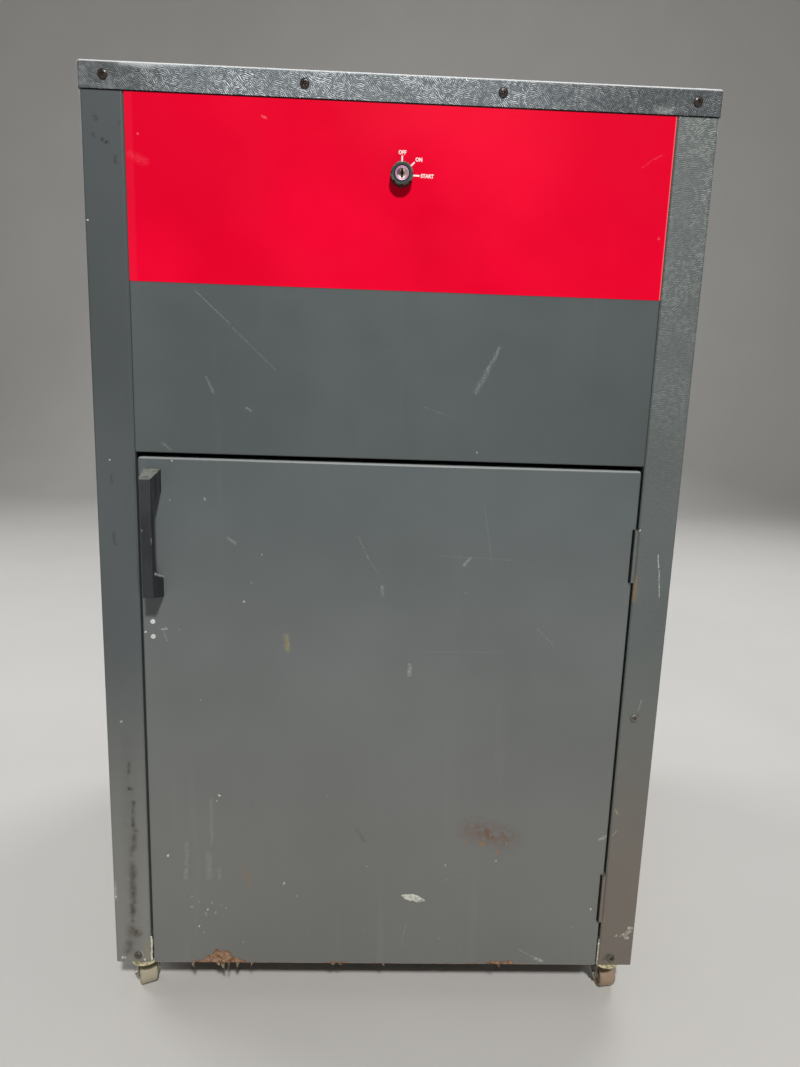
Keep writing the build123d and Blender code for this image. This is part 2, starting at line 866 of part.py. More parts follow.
with BuildPart() as key_switch_bezel:
    with BuildSketch(facing_front(front_y)):
        with Locations((0, key_z)):
            Circle(key_bezel_radius)
            Circle(key_barrel_radius + slip, mode=Mode.SUBTRACT)
    extrude(amount=key_bezel_length)
    with BuildSketch(facing_front(front_y - key_bezel_length + key_lip)):
        with Locations((0, key_z)):
            Circle(key_bezel_radius)
            Circle(key_plug_radius + slip, mode=Mode.SUBTRACT)
    extrude(amount=key_lip)
    chamfer(
        key_switch_bezel.faces().sort_by(Axis.Y)[0].edges().sort_by(SortBy.LENGTH)[-1],
        length=key_edge,
    )
    with BuildSketch(facing_front(front_y - key_bezel_length - overshoot)):
        with Locations((0, key_z)):
            with PolarLocations(key_bezel_radius, bezel_notch_count):
                Rectangle(2 * bezel_notch_depth, bezel_notch_width)
    extrude(amount=-key_bezel_length, mode=Mode.SUBTRACT)

key_switch_bezel.part.label = "key_switch_bezel"
export_step(key_switch_bezel.part, "parts/key_switch_bezel.step")

plug_front_y = front_y - key_bezel_length + key_plug_inset
with BuildPart() as key_cylinder:
    with BuildSketch(facing_front(plug_front_y)):
        with Locations((0, key_z)):
            Circle(key_plug_radius)
    extrude(amount=-(key_bezel_length - key_plug_inset + key_barrel_depth - key_plug_tail))
    fillet(key_cylinder.faces().sort_by(Axis.Y)[0].edges(), radius=key_edge)
    with BuildSketch(facing_front(plug_front_y)):
        with Locations((0, key_z)):
            Rectangle(keyway_width, keyway_length)
    extrude(amount=-keyway_depth, mode=Mode.SUBTRACT)

key_cylinder.part.label = "key_cylinder"
export_step(key_cylinder.part, "parts/key_cylinder.step")

# Bin: drafted steel pail with a turned rim and hand slots, between two rails on the pan
bin_taper = bin_height * tan(radians(bin_draft))
bin_bottom_width = bin_rim_width - 2 * (bin_rim_lip + bin_taper)
bin_bottom_depth = bin_rim_depth - 2 * (bin_rim_lip + bin_taper)
with BuildPart() as waste_bin:
    with BuildSketch(flat_at(floor_z)):
        with Locations((0, chamber_y)):
            RectangleRounded(bin_bottom_width, bin_bottom_depth, bin_corner)
    extrude(amount=bin_height, taper=-bin_draft)
    with BuildSketch(flat_at(floor_z + bin_height - bin_rim_height)):
        with Locations((0, chamber_y)):
            RectangleRounded(bin_rim_width, bin_rim_depth, bin_corner + bin_rim_lip)
    extrude(amount=bin_rim_height)
    with BuildSketch(flat_at(floor_z + bin_wall)):
        with Locations((0, chamber_y)):
            RectangleRounded(
                bin_bottom_width - 2 * bin_wall, bin_bottom_depth - 2 * bin_wall, bin_corner - bin_wall
            )
    extrude(amount=bin_height, taper=-bin_draft, mode=Mode.SUBTRACT)
    with BuildSketch(Plane.YZ.offset(-bin_rim_width)):
        with Locations((chamber_y, floor_z + bin_height - hand_slot_drop)):
            SlotOverall(hand_slot_length, hand_slot_width)
    extrude(amount=2 * bin_rim_width, mode=Mode.SUBTRACT)

waste_bin.part.label = "waste_bin"
export_step(waste_bin.part, "parts/waste_bin.step")

with BuildPart() as bin_rails:
    for side in (-1, 1):
        rail_x = side * (bin_bottom_width / 2 + 2 * slip)
        with BuildSketch(Plane.XZ.offset(-(chamber_y - bin_bottom_depth / 2))) as angle:
            folded_section(
                [
                    (rail_x, floor_z + rail_size),
                    (rail_x, floor_z),
                    (rail_x + side * rail_size, floor_z),
                ],
                inner_bend,
                pan_sheet,
                Side.LEFT if side > 0 else Side.RIGHT,
            )
        extrude(angle.sketch, amount=-bin_bottom_depth)

bin_rails.part.label = "bin_rails"
export_step(bin_rails.part, "parts/bin_rails.step")

# Columns: channels that open towards the chamber and guide the ram's crosshead
def column(side):
    with BuildSketch(flat_at(floor_z)) as plan:
        folded_section(
            [
                (side * (column_x - column_depth), chamber_y - column_width / 2),
                (side * column_x, chamber_y - column_width / 2),
                (side * column_x, chamber_y + column_width / 2),
                (side * (column_x - column_depth), chamber_y + column_width / 2),
            ],
            column_bend,
            column_wall,
            Side.LEFT if side > 0 else Side.RIGHT,
        )
    extrude(plan.sketch, amount=deck_z - floor_z)


with BuildPart() as left_column:
    column(-1)

left_column.part.label = "left_column"
export_step(left_column.part, "parts/left_column.step")

with BuildPart() as right_column:
    column(1)

right_column.part.label = "right_column"
export_step(right_column.part, "parts/right_column.step")

# Drive deck: a tray on top of the columns
deck_front_y = front_y + deck_front_gap
deck_size = (2 * inner_half_width, rear_panel_y - deck_front_y)
deck_middle_y = (rear_panel_y + deck_front_y) / 2
with BuildPart() as drive_deck:
    with BuildSketch(flat_at(deck_z)):
        with Locations((0, deck_middle_y)):
            Rectangle(*deck_size)
    extrude(amount=deck_sheet + deck_wall)
    with BuildSketch(flat_at(deck_top_z)):
        with Locations((0, deck_middle_y)):
            Rectangle(deck_size[0] - 2 * deck_sheet, deck_size[1] - 2 * deck_sheet)
    extrude(amount=deck_wall, mode=Mode.SUBTRACT)
    drill(flat_at(deck_top_z), screw_points, power_screw_radius + hole_clearance, deck_sheet)
    drill(flat_at(deck_top_z), bearing_bolt_points, bolt_hole_radius, deck_sheet)
    drill(flat_at(deck_top_z), [(0, drive_y)], drive_shaft_radius + hole_clearance, deck_sheet)

drive_deck.part.label = "drive_deck"
export_step(drive_deck.part, "parts/drive_deck.step")

# Chamber's rear wall, folded back at both sides
chamber_wall_y = front_y + chamber_wall_gap
chamber_wall_half = column_x - slip
with BuildPart() as chamber_rear_wall:
    with BuildSketch(flat_at(floor_z)) as plan:
        folded_section(
            [
                (-chamber_wall_half, chamber_wall_y + chamber_wall_flange),
                (-chamber_wall_half, chamber_wall_y),
                (chamber_wall_half, chamber_wall_y),
                (chamber_wall_half, chamber_wall_y + chamber_wall_flange),
            ],
            bend,
            sheet,
            Side.LEFT,
        )
    extrude(plan.sketch, amount=deck_z - floor_z)

chamber_rear_wall.part.label = "chamber_rear_wall"
export_step(chamber_rear_wall.part, "parts/chamber_rear_wall.step")


# Flange bearings: upper pair on the deck, lower pair on the pan
def flange_bearings(z, bore_depth):
    for x, y in screw_points:
        with BuildSketch(flat_at(z)) as foot:
            with Locations((x, y)):
                Circle(bearing_radius)
            with Locations((x, y - bearing_bolt_reach), (x, y + bearing_bolt_reach)):
                Circle(bearing_bolt_lobe)
            make_hull()
        extrude(foot.sketch, amount=bearing_foot)
        with BuildSketch(flat_at(z)) as hub:
            with Locations((x, y)):
                Circle(bearing_hub_radius)
        extrude(hub.sketch, amount=bearing_height)
    drill(flat_at(z + bearing_height), screw_points, journal_radius + running_gap, bore_depth)
    drill(flat_at(z + bearing_foot), bearing_bolt_points, bolt_hole_radius, bearing_foot)


with BuildPart() as upper_screw_bearings:
    flange_bearings(deck_top_z, bearing_height)

upper_screw_bearings.part.label = "upper_screw_bearings"
export_step(upper_screw_bearings.part, "parts/upper_screw_bearings.step")

with BuildPart() as lower_screw_bearings:
    flange_bearings(floor_z, bearing_height - bearing_floor)

lower_screw_bearings.part.label = "lower_screw_bearings"
export_step(lower_screw_bearings.part, "parts/lower_screw_bearings.step")


# Power screws: the threaded length between two turned journals
screw_top_z = pulley_z + belt_width + 2 * (pulley_flange + pulley_gap) + pulley_hub_length


def power_screw(x):
    profile_plane = Plane((x, chamber_y, 0), x_dir=(1, 0, 0), z_dir=(0, -1, 0))
    journal_low = floor_z + bearing_floor + slip
    thread_low = floor_z + bearing_height + slip
    thread_high = deck_top_z - slip
    with BuildSketch(profile_plane) as half:
        with BuildLine():
            Polyline(
                (0, journal_low),
                (journal_radius - edge_break, journal_low),
                (journal_radius, journal_low + edge_break),
                (journal_radius, thread_low),
                (power_screw_radius, thread_low + edge_break),
                (power_screw_radius, thread_high - edge_break),
                (journal_radius, thread_high),
                (journal_radius, screw_top_z - edge_break),
                (journal_radius - edge_break, screw_top_z),
                (0, screw_top_z),
                close=True,
            )
        make_face()
    revolve(half.sketch, axis=Axis((x, chamber_y, 0), (0, 0, 1)))


with BuildPart() as left_power_screw:
    power_screw(-screw_x)

left_power_screw.part.label = "left_power_screw"
export_step(left_power_screw.part, "parts/left_power_screw.step")

with BuildPart() as right_power_screw:
    power_screw(screw_x)

right_power_screw.part.label = "right_power_screw"
export_step(right_power_screw.part, "parts/right_power_screw.step")


# Flanged belt pulleys with a hub above
def belt_pulley(x, y, radius, bore):
    face = belt_width + 2 * pulley_gap
    rim_z = pulley_z + pulley_flange
    profile_plane = Plane((x, y, 0), x_dir=(1, 0, 0), z_dir=(0, -1, 0))
    with BuildSketch(profile_plane) as half:
        with BuildLine():
            Polyline(
                (bore, pulley_z),
                (radius + pulley_flange_rise, pulley_z),
                (radius + pulley_flange_rise, rim_z),
                (radius, rim_z),
                (radius, rim_z + face),
                (radius + pulley_flange_rise, rim_z + face),
                (radius + pulley_flange_rise, rim_z + face + pulley_flange),
                (min(radius, pulley_hub_radius), rim_z + face + pulley_flange),
                (min(radius, pulley_hub_radius), screw_top_z - shaft_end),
                (bore, screw_top_z - shaft_end),
                close=True,
            )
        make_face()
    revolve(half.sketch, axis=Axis((x, y, 0), (0, 0, 1)))


with BuildPart() as left_screw_pulley:
    belt_pulley(-screw_x, chamber_y, screw_pulley_radius, journal_radius)

left_screw_pulley.part.label = "left_screw_pulley"
export_step(left_screw_pulley.part, "parts/left_screw_pulley.step")

with BuildPart() as right_screw_pulley:
    belt_pulley(screw_x, chamber_y, screw_pulley_radius, journal_radius)

right_screw_pulley.part.label = "right_screw_pulley"
export_step(right_screw_pulley.part, "parts/right_screw_pulley.step")

with BuildPart() as drive_pulley:
    belt_pulley(0, drive_y, drive_pulley_radius, drive_shaft_radius)

drive_pulley.part.label = "drive_pulley"
export_step(drive_pulley.part, "parts/drive_pulley.step")


# Belt: one loop round the three pulleys
def belt_loop(clearance):
    with BuildSketch(mode=Mode.PRIVATE) as loop:
        with Locations(*screw_points):
            Circle(screw_pulley_radius + clearance)
        with Locations((0, drive_y)):
            Circle(drive_pulley_radius + clearance)
        make_hull()
    return loop.sketch


with BuildPart() as drive_belt:
    with BuildSketch(flat_at(pulley_z + pulley_flange + pulley_gap)):
        add(belt_loop(slip + belt_thickness))
        add(belt_loop(slip), mode=Mode.SUBTRACT)
    extrude(amount=belt_width)

drive_belt.part.label = "drive_belt"
export_step(drive_belt.part, "parts/drive_belt.step")

# Drive unit under the deck: gearbox, motor below it, output shaft through the deck
with BuildPart() as gearbox:
    box_between(
        (-gearbox_width / 2, drive_y - gearbox_depth / 2, deck_z - gearbox_height),
        (gearbox_width / 2, drive_y + gearbox_depth / 2, deck_z),
    )
    fillet(gearbox.edges().filter_by(Axis.Z), radius=gearbox_edge)
    drill(flat_at(deck_z), [(0, drive_y)], drive_shaft_radius + running_gap, drive_shaft_depth)

gearbox.part.label = "gearbox"
export_step(gearbox.part, "parts/gearbox.step")

motor_top_z = deck_z - gearbox_height
with BuildPart() as motor:
    with BuildSketch(Plane((0, drive_y, 0), x_dir=(1, 0, 0), z_dir=(0, -1, 0))):
        with BuildLine():
            Polyline(
                (0, motor_top_z),
                (motor_radius - motor_shoulder, motor_top_z),
                (motor_radius, motor_top_z - motor_shoulder),
                (motor_radius, motor_top_z - motor_length + motor_shoulder),
                (motor_radius - motor_shoulder, motor_top_z - motor_length),
                (motor_boss_radius, motor_top_z - motor_length),
                (motor_boss_radius, motor_top_z - motor_length - motor_boss_length),
                (0, motor_top_z - motor_length - motor_boss_length),
                close=True,
            )
        make_face()
    revolve(axis=Axis((0, drive_y, 0), (0, 0, 1)))

motor.part.label = "motor"
export_step(motor.part, "parts/motor.step")

with BuildPart() as drive_shaft:
    with BuildSketch(flat_at(deck_z - drive_shaft_depth + slip)):
        with Locations((0, drive_y)):
            Circle(drive_shaft_radius)
    extrude(amount=screw_top_z - deck_z + drive_shaft_depth - slip)
    chamfer(drive_shaft.faces().sort_by(Axis.Z)[-1].edges(), length=edge_break)

drive_shaft.part.label = "drive_shaft"
export_step(drive_shaft.part, "parts/drive_shaft.step")

with BuildPart() as run_capacitor:
    with BuildSketch(flat_at(deck_top_z)):
        with Locations((capacitor_spacing, drive_y)):
            Circle(capacitor_radius)
    extrude(amount=capacitor_length)
    fillet(run_capacitor.edges().group_by(Axis.Z)[-1], radius=capacitor_edge)

run_capacitor.part.label = "run_capacitor"
export_step(run_capacitor.part, "parts/run_capacitor.step")

control_box_x = -(screw_x - control_box_inset)
with BuildPart() as control_box:
    box_between(
        (
            control_box_x - control_box_width / 2,
            drive_y - control_box_depth / 2,
            deck_top_z,
        ),
        (
            control_box_x + control_box_width / 2,
            drive_y + control_box_depth / 2,
            deck_top_z + control_box_height,
        ),
    )
    fillet(control_box.edges().filter_by(Axis.Z), radius=control_box_edge)

control_box.part.label = "control_box"
export_step(control_box.part, "parts/control_box.step")

# Bolts that hold the screws' bearings and the casters
with BuildPart() as frame_bolts:
    screws(
        flat_at(deck_top_z + bearing_foot), bearing_bolt_points, frame_bolt_head,
        frame_bolt_head_height, frame_bolt_radius, bearing_foot + deck_sheet + frame_bolt_spare,
    )
    screws(
        flat_at(floor_z + bearing_foot), bearing_bolt_points, frame_bolt_head,
        frame_bolt_head_height, frame_bolt_radius, bearing_foot + pan_sheet + frame_bolt_spare,
    )
    screws(
        flat_under(base_z - caster_plate_sheet), [(x, -y) for x, y in caster_bolt_points], frame_bolt_head,
        frame_bolt_head_height, frame_bolt_radius, caster_plate_sheet + pan_sheet + frame_bolt_spare,
    )

frame_bolts.part.label = "frame_bolts"
export_step(frame_bolts.part, "parts/frame_bolts.step")

# Ram: crosshead between the columns, a deep box under it and the platen that does the pressing
crosshead_half = column_x - column_wall - crosshead_end_gap
with BuildPart() as ram_crosshead:
    with BuildSketch(Plane.YZ.offset(-crosshead_half)) as section:
        folded_section(
            [
                (chamber_y - crosshead_width / 2, crosshead_z),
                (chamber_y - crosshead_width / 2, crosshead_top_z),
                (chamber_y + crosshead_width / 2, crosshead_top_z),
                (chamber_y + crosshead_width / 2, crosshead_z),
            ],
            crosshead_bend,
            crosshead_wall,
            Side.RIGHT,
        )
    extrude(section.sketch, amount=2 * crosshead_half)
    drill(flat_at(crosshead_top_z), screw_points, nut_radius + screw_clearance, crosshead_wall)

ram_crosshead.part.label = "ram_crosshead"
export_step(ram_crosshead.part, "parts/ram_crosshead.step")

nut_top_z = crosshead_top_z - crosshead_wall
with BuildPart() as ram_nuts:
    with BuildSketch(flat_at(nut_top_z - nut_flange_height)) as flange:
        with Locations(*screw_points):
            Circle(nut_flange_radius)
    extrude(flange.sketch, amount=nut_flange_height)
    with BuildSketch(flat_at(crosshead_top_z - nut_length)) as barrel:
        with Locations(*screw_points):
            Circle(nut_radius)
    extrude(barrel.sketch, amount=nut_length)
    drill(flat_at(crosshead_top_z), screw_points, power_screw_radius + running_gap, nut_length)

ram_nuts.part.label = "ram_nuts"
export_step(ram_nuts.part, "parts/ram_nuts.step")

guide_gap = (column_width - crosshead_width) / 2 - column_wall
with BuildPart() as ram_guides:
    for side in (-1, 1):
        for face in (-1, 1):
            pad_x = side * (column_x - column_depth + guide_pad_length / 2)
            pad_y = chamber_y + face * (crosshead_width / 2 + (guide_gap - guide_pad_gap) / 2)
            with Locations((pad_x, pad_y, crosshead_z + crosshead_height / 2)):
                Box(guide_pad_length, guide_gap - guide_pad_gap, crosshead_height - crosshead_bend)

ram_guides.part.label = "ram_guides"
export_step(ram_guides.part, "parts/ram_guides.step")

platen_top_z = platen_z + platen_sheet
with BuildPart() as ram_box:
    with BuildSketch(flat_at(platen_top_z)):
        with Locations((0, chamber_y)):
            RectangleRounded(ram_width, ram_depth, ram_corner)
    extrude(amount=crosshead_z - platen_top_z)
    with BuildSketch(flat_at(platen_top_z + ram_wall)):
        with Locations((0, chamber_y)):
            RectangleRounded(ram_width - 2 * ram_wall, ram_depth - 2 * ram_wall, ram_corner - ram_wall)
    extrude(amount=crosshead_z - platen_top_z - 2 * ram_wall, mode=Mode.SUBTRACT)
    with BuildSketch(flat_at(crosshead_z)):
        with Locations((0, chamber_y)):
            RectangleRounded(ram_width - 2 * ram_rim, ram_depth - 2 * ram_rim, ram_corner)
    extrude(amount=-2 * ram_wall, mode=Mode.SUBTRACT)

ram_box.part.label = "ram_box"
export_step(ram_box.part, "parts/ram_box.step")

with BuildPart() as ram_platen:
    with BuildSketch(flat_at(platen_z)):
        with Locations((0, chamber_y)):
            RectangleRounded(
                ram_width + 2 * platen_overhang, ram_depth + 2 * platen_overhang,
                ram_corner + platen_overhang,
            )
    extrude(amount=platen_lip)
    fillet(ram_platen.faces().sort_by(Axis.Z)[0].edges(), radius=platen_edge)
    with BuildSketch(flat_at(platen_top_z)):
        with Locations((0, chamber_y)):
            RectangleRounded(ram_width, ram_depth, ram_corner)
    extrude(amount=platen_lip, mode=Mode.SUBTRACT)

ram_platen.part.label = "ram_platen"
export_step(ram_platen.part, "parts/ram_platen.step")

# Switch that stops the ram at the top of its travel
limit_low_z = deck_z - limit_switch_height
limit_travel_top = limit_switch_height - limit_switch_roof
with BuildPart() as ram_limit_switch:
    box_between(
        (
            limit_switch_spacing - limit_switch_length / 2,
            chamber_y - limit_switch_width / 2,
            limit_low_z,
        ),
        (
            limit_switch_spacing + limit_switch_length / 2,
            chamber_y + limit_switch_width / 2,
            deck_z,
        ),
    )
    fillet(ram_limit_switch.edges().filter_by(Axis.Z), radius=limit_switch_edge)
    with BuildSketch(flat_at(limit_low_z)):
        with Locations((limit_switch_spacing, chamber_y)):
            Circle(plunger_radius + running_gap)
    extrude(amount=limit_travel_top, mode=Mode.SUBTRACT)

ram_limit_switch.part.label = "ram_limit_switch"
export_step(ram_limit_switch.part, "parts/ram_limit_switch.step")

with BuildPart() as ram_limit_plunger:
    with BuildSketch(flat_at(crosshead_top_z + slip)):
        with Locations((limit_switch_spacing, chamber_y)):
            Circle(plunger_radius)
    extrude(amount=limit_low_z + limit_travel_top - plunger_travel - 2 * slip - crosshead_top_z)
    chamfer(ram_limit_plunger.faces().sort_by(Axis.Z)[0].edges(), length=plunger_edge)

ram_limit_plunger.part.label = "ram_limit_plunger"
export_step(ram_limit_plunger.part, "parts/ram_limit_plunger.step")

# Casters: the front pair swivels on a kingpin, the rear pair is fixed
plate_z = base_z - caster_plate_sheet
raceway_z = plate_z - raceway_height
crown_top_z = raceway_z - fork_crown_gap
leg_x = wheel_width / 2 + fork_side_gap
with BuildPart() as caster_plates:
    for side in (-1, 1):
        with BuildSketch(flat_at(plate_z)) as plate:
            with Locations((side * caster_x, front_caster_y)):
                RectangleRounded(caster_plate_width, caster_plate_length, bend)
        extrude(plate.sketch, amount=caster_plate_sheet)
        with BuildSketch(flat_at(raceway_z)) as raceway:
            with Locations((side * caster_x, front_caster_y)):
                Circle(raceway_radius)
        extrude(raceway.sketch, amount=raceway_height)
        drill(
            flat_at(plate_z + slip), [(side * caster_x, front_caster_y)],
            kingpin_radius + running_gap, raceway_height + overshoot,
        )
    drill(flat_at(base_z), caster_bolt_points, bolt_hole_radius, caster_plate_sheet)

caster_plates.part.label = "caster_plates"
export_step(caster_plates.part, "parts/caster_plates.step")


def caster_frame(side, turn, trail, y):
    """Kingpin frame of a caster: x along its axle, -y towards its wheel, and the wheel's centre."""
    kingpin = Plane((side * caster_x, y, 0)).rotated((0, 0, turn))
    return kingpin, kingpin.from_local_coords(Vector(0, -trail, axle_z))


def caster_fork(kingpin, trail, top_z):
    """Crown, two tapered legs and the riveted axle between them."""
    with BuildSketch(kingpin.offset(top_z - fork_sheet)) as crown:
        Circle(fork_crown_radius)
        with Locations((0, -trail)):
            Rectangle(2 * (leg_x + fork_sheet), 2 * fork_boss_radius)
        make_hull()
    extrude(crown.sketch, amount=fork_sheet)
    upright = Plane(kingpin.origin, x_dir=kingpin.y_dir, z_dir=kingpin.x_dir)
    for end in (-1, 1):
        with BuildSketch(upright.offset(end * (leg_x + fork_sheet / 2))) as leg:
            with Locations((-trail, axle_z)):
                Circle(fork_boss_radius)
            with Locations((-trail / 2, top_z - fork_sheet / 2)):
                Rectangle(2 * fork_boss_radius + trail, fork_sheet)
            make_hull()
        extrude(leg.sketch, amount=fork_sheet / 2, both=True)
    with BuildSketch(upright) as axle:
        with Locations((-trail, axle_z)):
            Circle(axle_radius)
    extrude(axle.sketch, amount=leg_x + fork_sheet + axle_end, both=True)


def caster_wheel(kingpin, trail):
    """Nylon tread with rounded edges and a recess round the hub on both faces."""
    upright = Plane(kingpin.origin, x_dir=kingpin.y_dir, z_dir=kingpin.x_dir)
    half = wheel_width / 2
    with BuildSketch(kingpin.offset(axle_z)) as section:
        with BuildLine():
            Polyline(
                (-half, -trail + axle_radius + running_gap),
                (-half, -trail + wheel_radius - wheel_edge),
                (-half + wheel_edge, -trail + wheel_radius),
                (half - wheel_edge, -trail + wheel_radius),
                (half, -trail + wheel_radius - wheel_edge),
                (half, -trail + axle_radius + running_gap),
                close=True,
            )
        make_face()
    centre = kingpin.from_local_coords(Vector(0, -trail, axle_z))
    revolve(section.sketch, axis=Axis(centre, kingpin.x_dir))


left_kingpin, left_wheel_centre = caster_frame(-1, left_caster_turn, caster_trail, front_caster_y)
right_kingpin, right_wheel_centre = caster_frame(1, right_caster_turn, caster_trail, front_caster_y)
rear_left_frame, rear_left_centre = caster_frame(-1, 0, 0, rear_caster_y)
rear_right_frame, rear_right_centre = caster_frame(1, 0, 0, rear_caster_y)


def swivel_fork(kingpin):
    """Front fork with its kingpin, which turns in the plate's raceway."""
    caster_fork(kingpin, caster_trail, crown_top_z)
    with BuildSketch(kingpin.offset(crown_top_z)) as pin:
        Circle(kingpin_radius)
    extrude(pin.sketch, amount=raceway_height + fork_crown_gap)


with BuildPart() as front_left_caster_fork:
    swivel_fork(left_kingpin)

front_left_caster_fork.part.label = "front_left_caster_fork"
export_step(front_left_caster_fork.part, "parts/front_left_caster_fork.step")

with BuildPart() as front_right_caster_fork:
    swivel_fork(right_kingpin)

front_right_caster_fork.part.label = "front_right_caster_fork"
export_step(front_right_caster_fork.part, "parts/front_right_caster_fork.step")

with BuildPart() as rear_caster_forks:
    for frame in (rear_left_frame, rear_right_frame):
        caster_fork(frame, 0, base_z)
        with BuildSketch(frame.offset(plate_z)) as plate:
            RectangleRounded(caster_plate_width, caster_plate_length, bend)
        extrude(plate.sketch, amount=caster_plate_sheet)
    drill(flat_at(base_z), caster_bolt_points, bolt_hole_radius, caster_plate_sheet)

rear_caster_forks.part.label = "rear_caster_forks"
export_step(rear_caster_forks.part, "parts/rear_caster_forks.step")

with BuildPart() as front_left_wheel:
    caster_wheel(left_kingpin, caster_trail)

front_left_wheel.part.label = "front_left_wheel"
export_step(front_left_wheel.part, "parts/front_left_wheel.step")

with BuildPart() as front_right_wheel:
    caster_wheel(right_kingpin, caster_trail)

front_right_wheel.part.label = "front_right_wheel"
export_step(front_right_wheel.part, "parts/front_right_wheel.step")

with BuildPart() as rear_left_wheel:
    caster_wheel(rear_left_frame, 0)

rear_left_wheel.part.label = "rear_left_wheel"
export_step(rear_left_wheel.part, "parts/rear_left_wheel.step")

with BuildPart() as rear_right_wheel:
    caster_wheel(rear_right_frame, 0)

rear_right_wheel.part.label = "rear_right_wheel"
export_step(rear_right_wheel.part, "parts/rear_right_wheel.step")
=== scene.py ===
import json
from math import cos, pi, radians, sin
import bmesh
import bpy
import numpy as np
from mathutils import Euler, Matrix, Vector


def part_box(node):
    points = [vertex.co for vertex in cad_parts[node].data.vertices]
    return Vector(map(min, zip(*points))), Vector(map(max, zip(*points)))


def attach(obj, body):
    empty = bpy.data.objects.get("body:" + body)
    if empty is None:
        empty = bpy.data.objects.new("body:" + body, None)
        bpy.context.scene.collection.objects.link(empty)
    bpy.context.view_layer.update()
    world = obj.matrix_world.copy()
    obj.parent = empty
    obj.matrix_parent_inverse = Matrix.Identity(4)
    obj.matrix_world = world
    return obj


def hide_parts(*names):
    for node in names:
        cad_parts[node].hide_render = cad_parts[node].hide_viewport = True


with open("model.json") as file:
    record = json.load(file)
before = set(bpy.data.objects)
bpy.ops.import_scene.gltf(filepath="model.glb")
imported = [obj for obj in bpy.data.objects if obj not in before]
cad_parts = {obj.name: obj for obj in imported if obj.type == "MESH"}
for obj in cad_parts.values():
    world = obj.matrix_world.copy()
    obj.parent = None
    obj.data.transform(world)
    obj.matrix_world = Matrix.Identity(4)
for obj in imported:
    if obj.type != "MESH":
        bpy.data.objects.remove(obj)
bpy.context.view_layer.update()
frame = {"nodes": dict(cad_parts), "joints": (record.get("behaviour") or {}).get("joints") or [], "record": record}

# Places that the finishes and pieces are tied to, in metres
MM = 0.001
JOINTS = {joint["name"]: joint for joint in frame["joints"]}
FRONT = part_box("front_upper_panel")[0][1]
LABEL_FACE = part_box("control_label")[0][1]
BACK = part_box("rear_panel")[1][1]
LOCK_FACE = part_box("key_cylinder")[0][1]
COVER_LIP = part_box("top_cover")[0][2]
KEY_X, _, KEY_Z = JOINTS["key_turn"]["pos_m"]
HINGE_X = JOINTS["door_hinge"]["pos_m"][0]

# Colours of wear, and the painted highlight of a worn edge, as display values from 0 to 255
CHALK = (178, 182, 180)
CREAM = (186, 184, 158)
SOOT = (38, 38, 36)
RUST_BROWN = (112, 66, 38)
OCHRE = (150, 112, 62)
OLIVE = (146, 138, 104)
SCUM = (146, 148, 142)
GRIME = (66, 60, 48)
OLD_DUST = (88, 84, 72)
# A worn edge of the pull, painted as bright as the highlight its slope catches
WORN_EDGE_HIGHLIGHT = (206, 212, 208)
PINK = (250, 130, 140)
DULL_PINK = (246, 110, 120)
PALE_PINK = (250, 150, 155)
ROSE = (244, 76, 96)
BRIGHT_ROSE = (255, 90, 116)

# How ragged the edges of soft stains and of broad blotches are, in millimetres
SOFT = 2.0
BLOTCH = 6.0

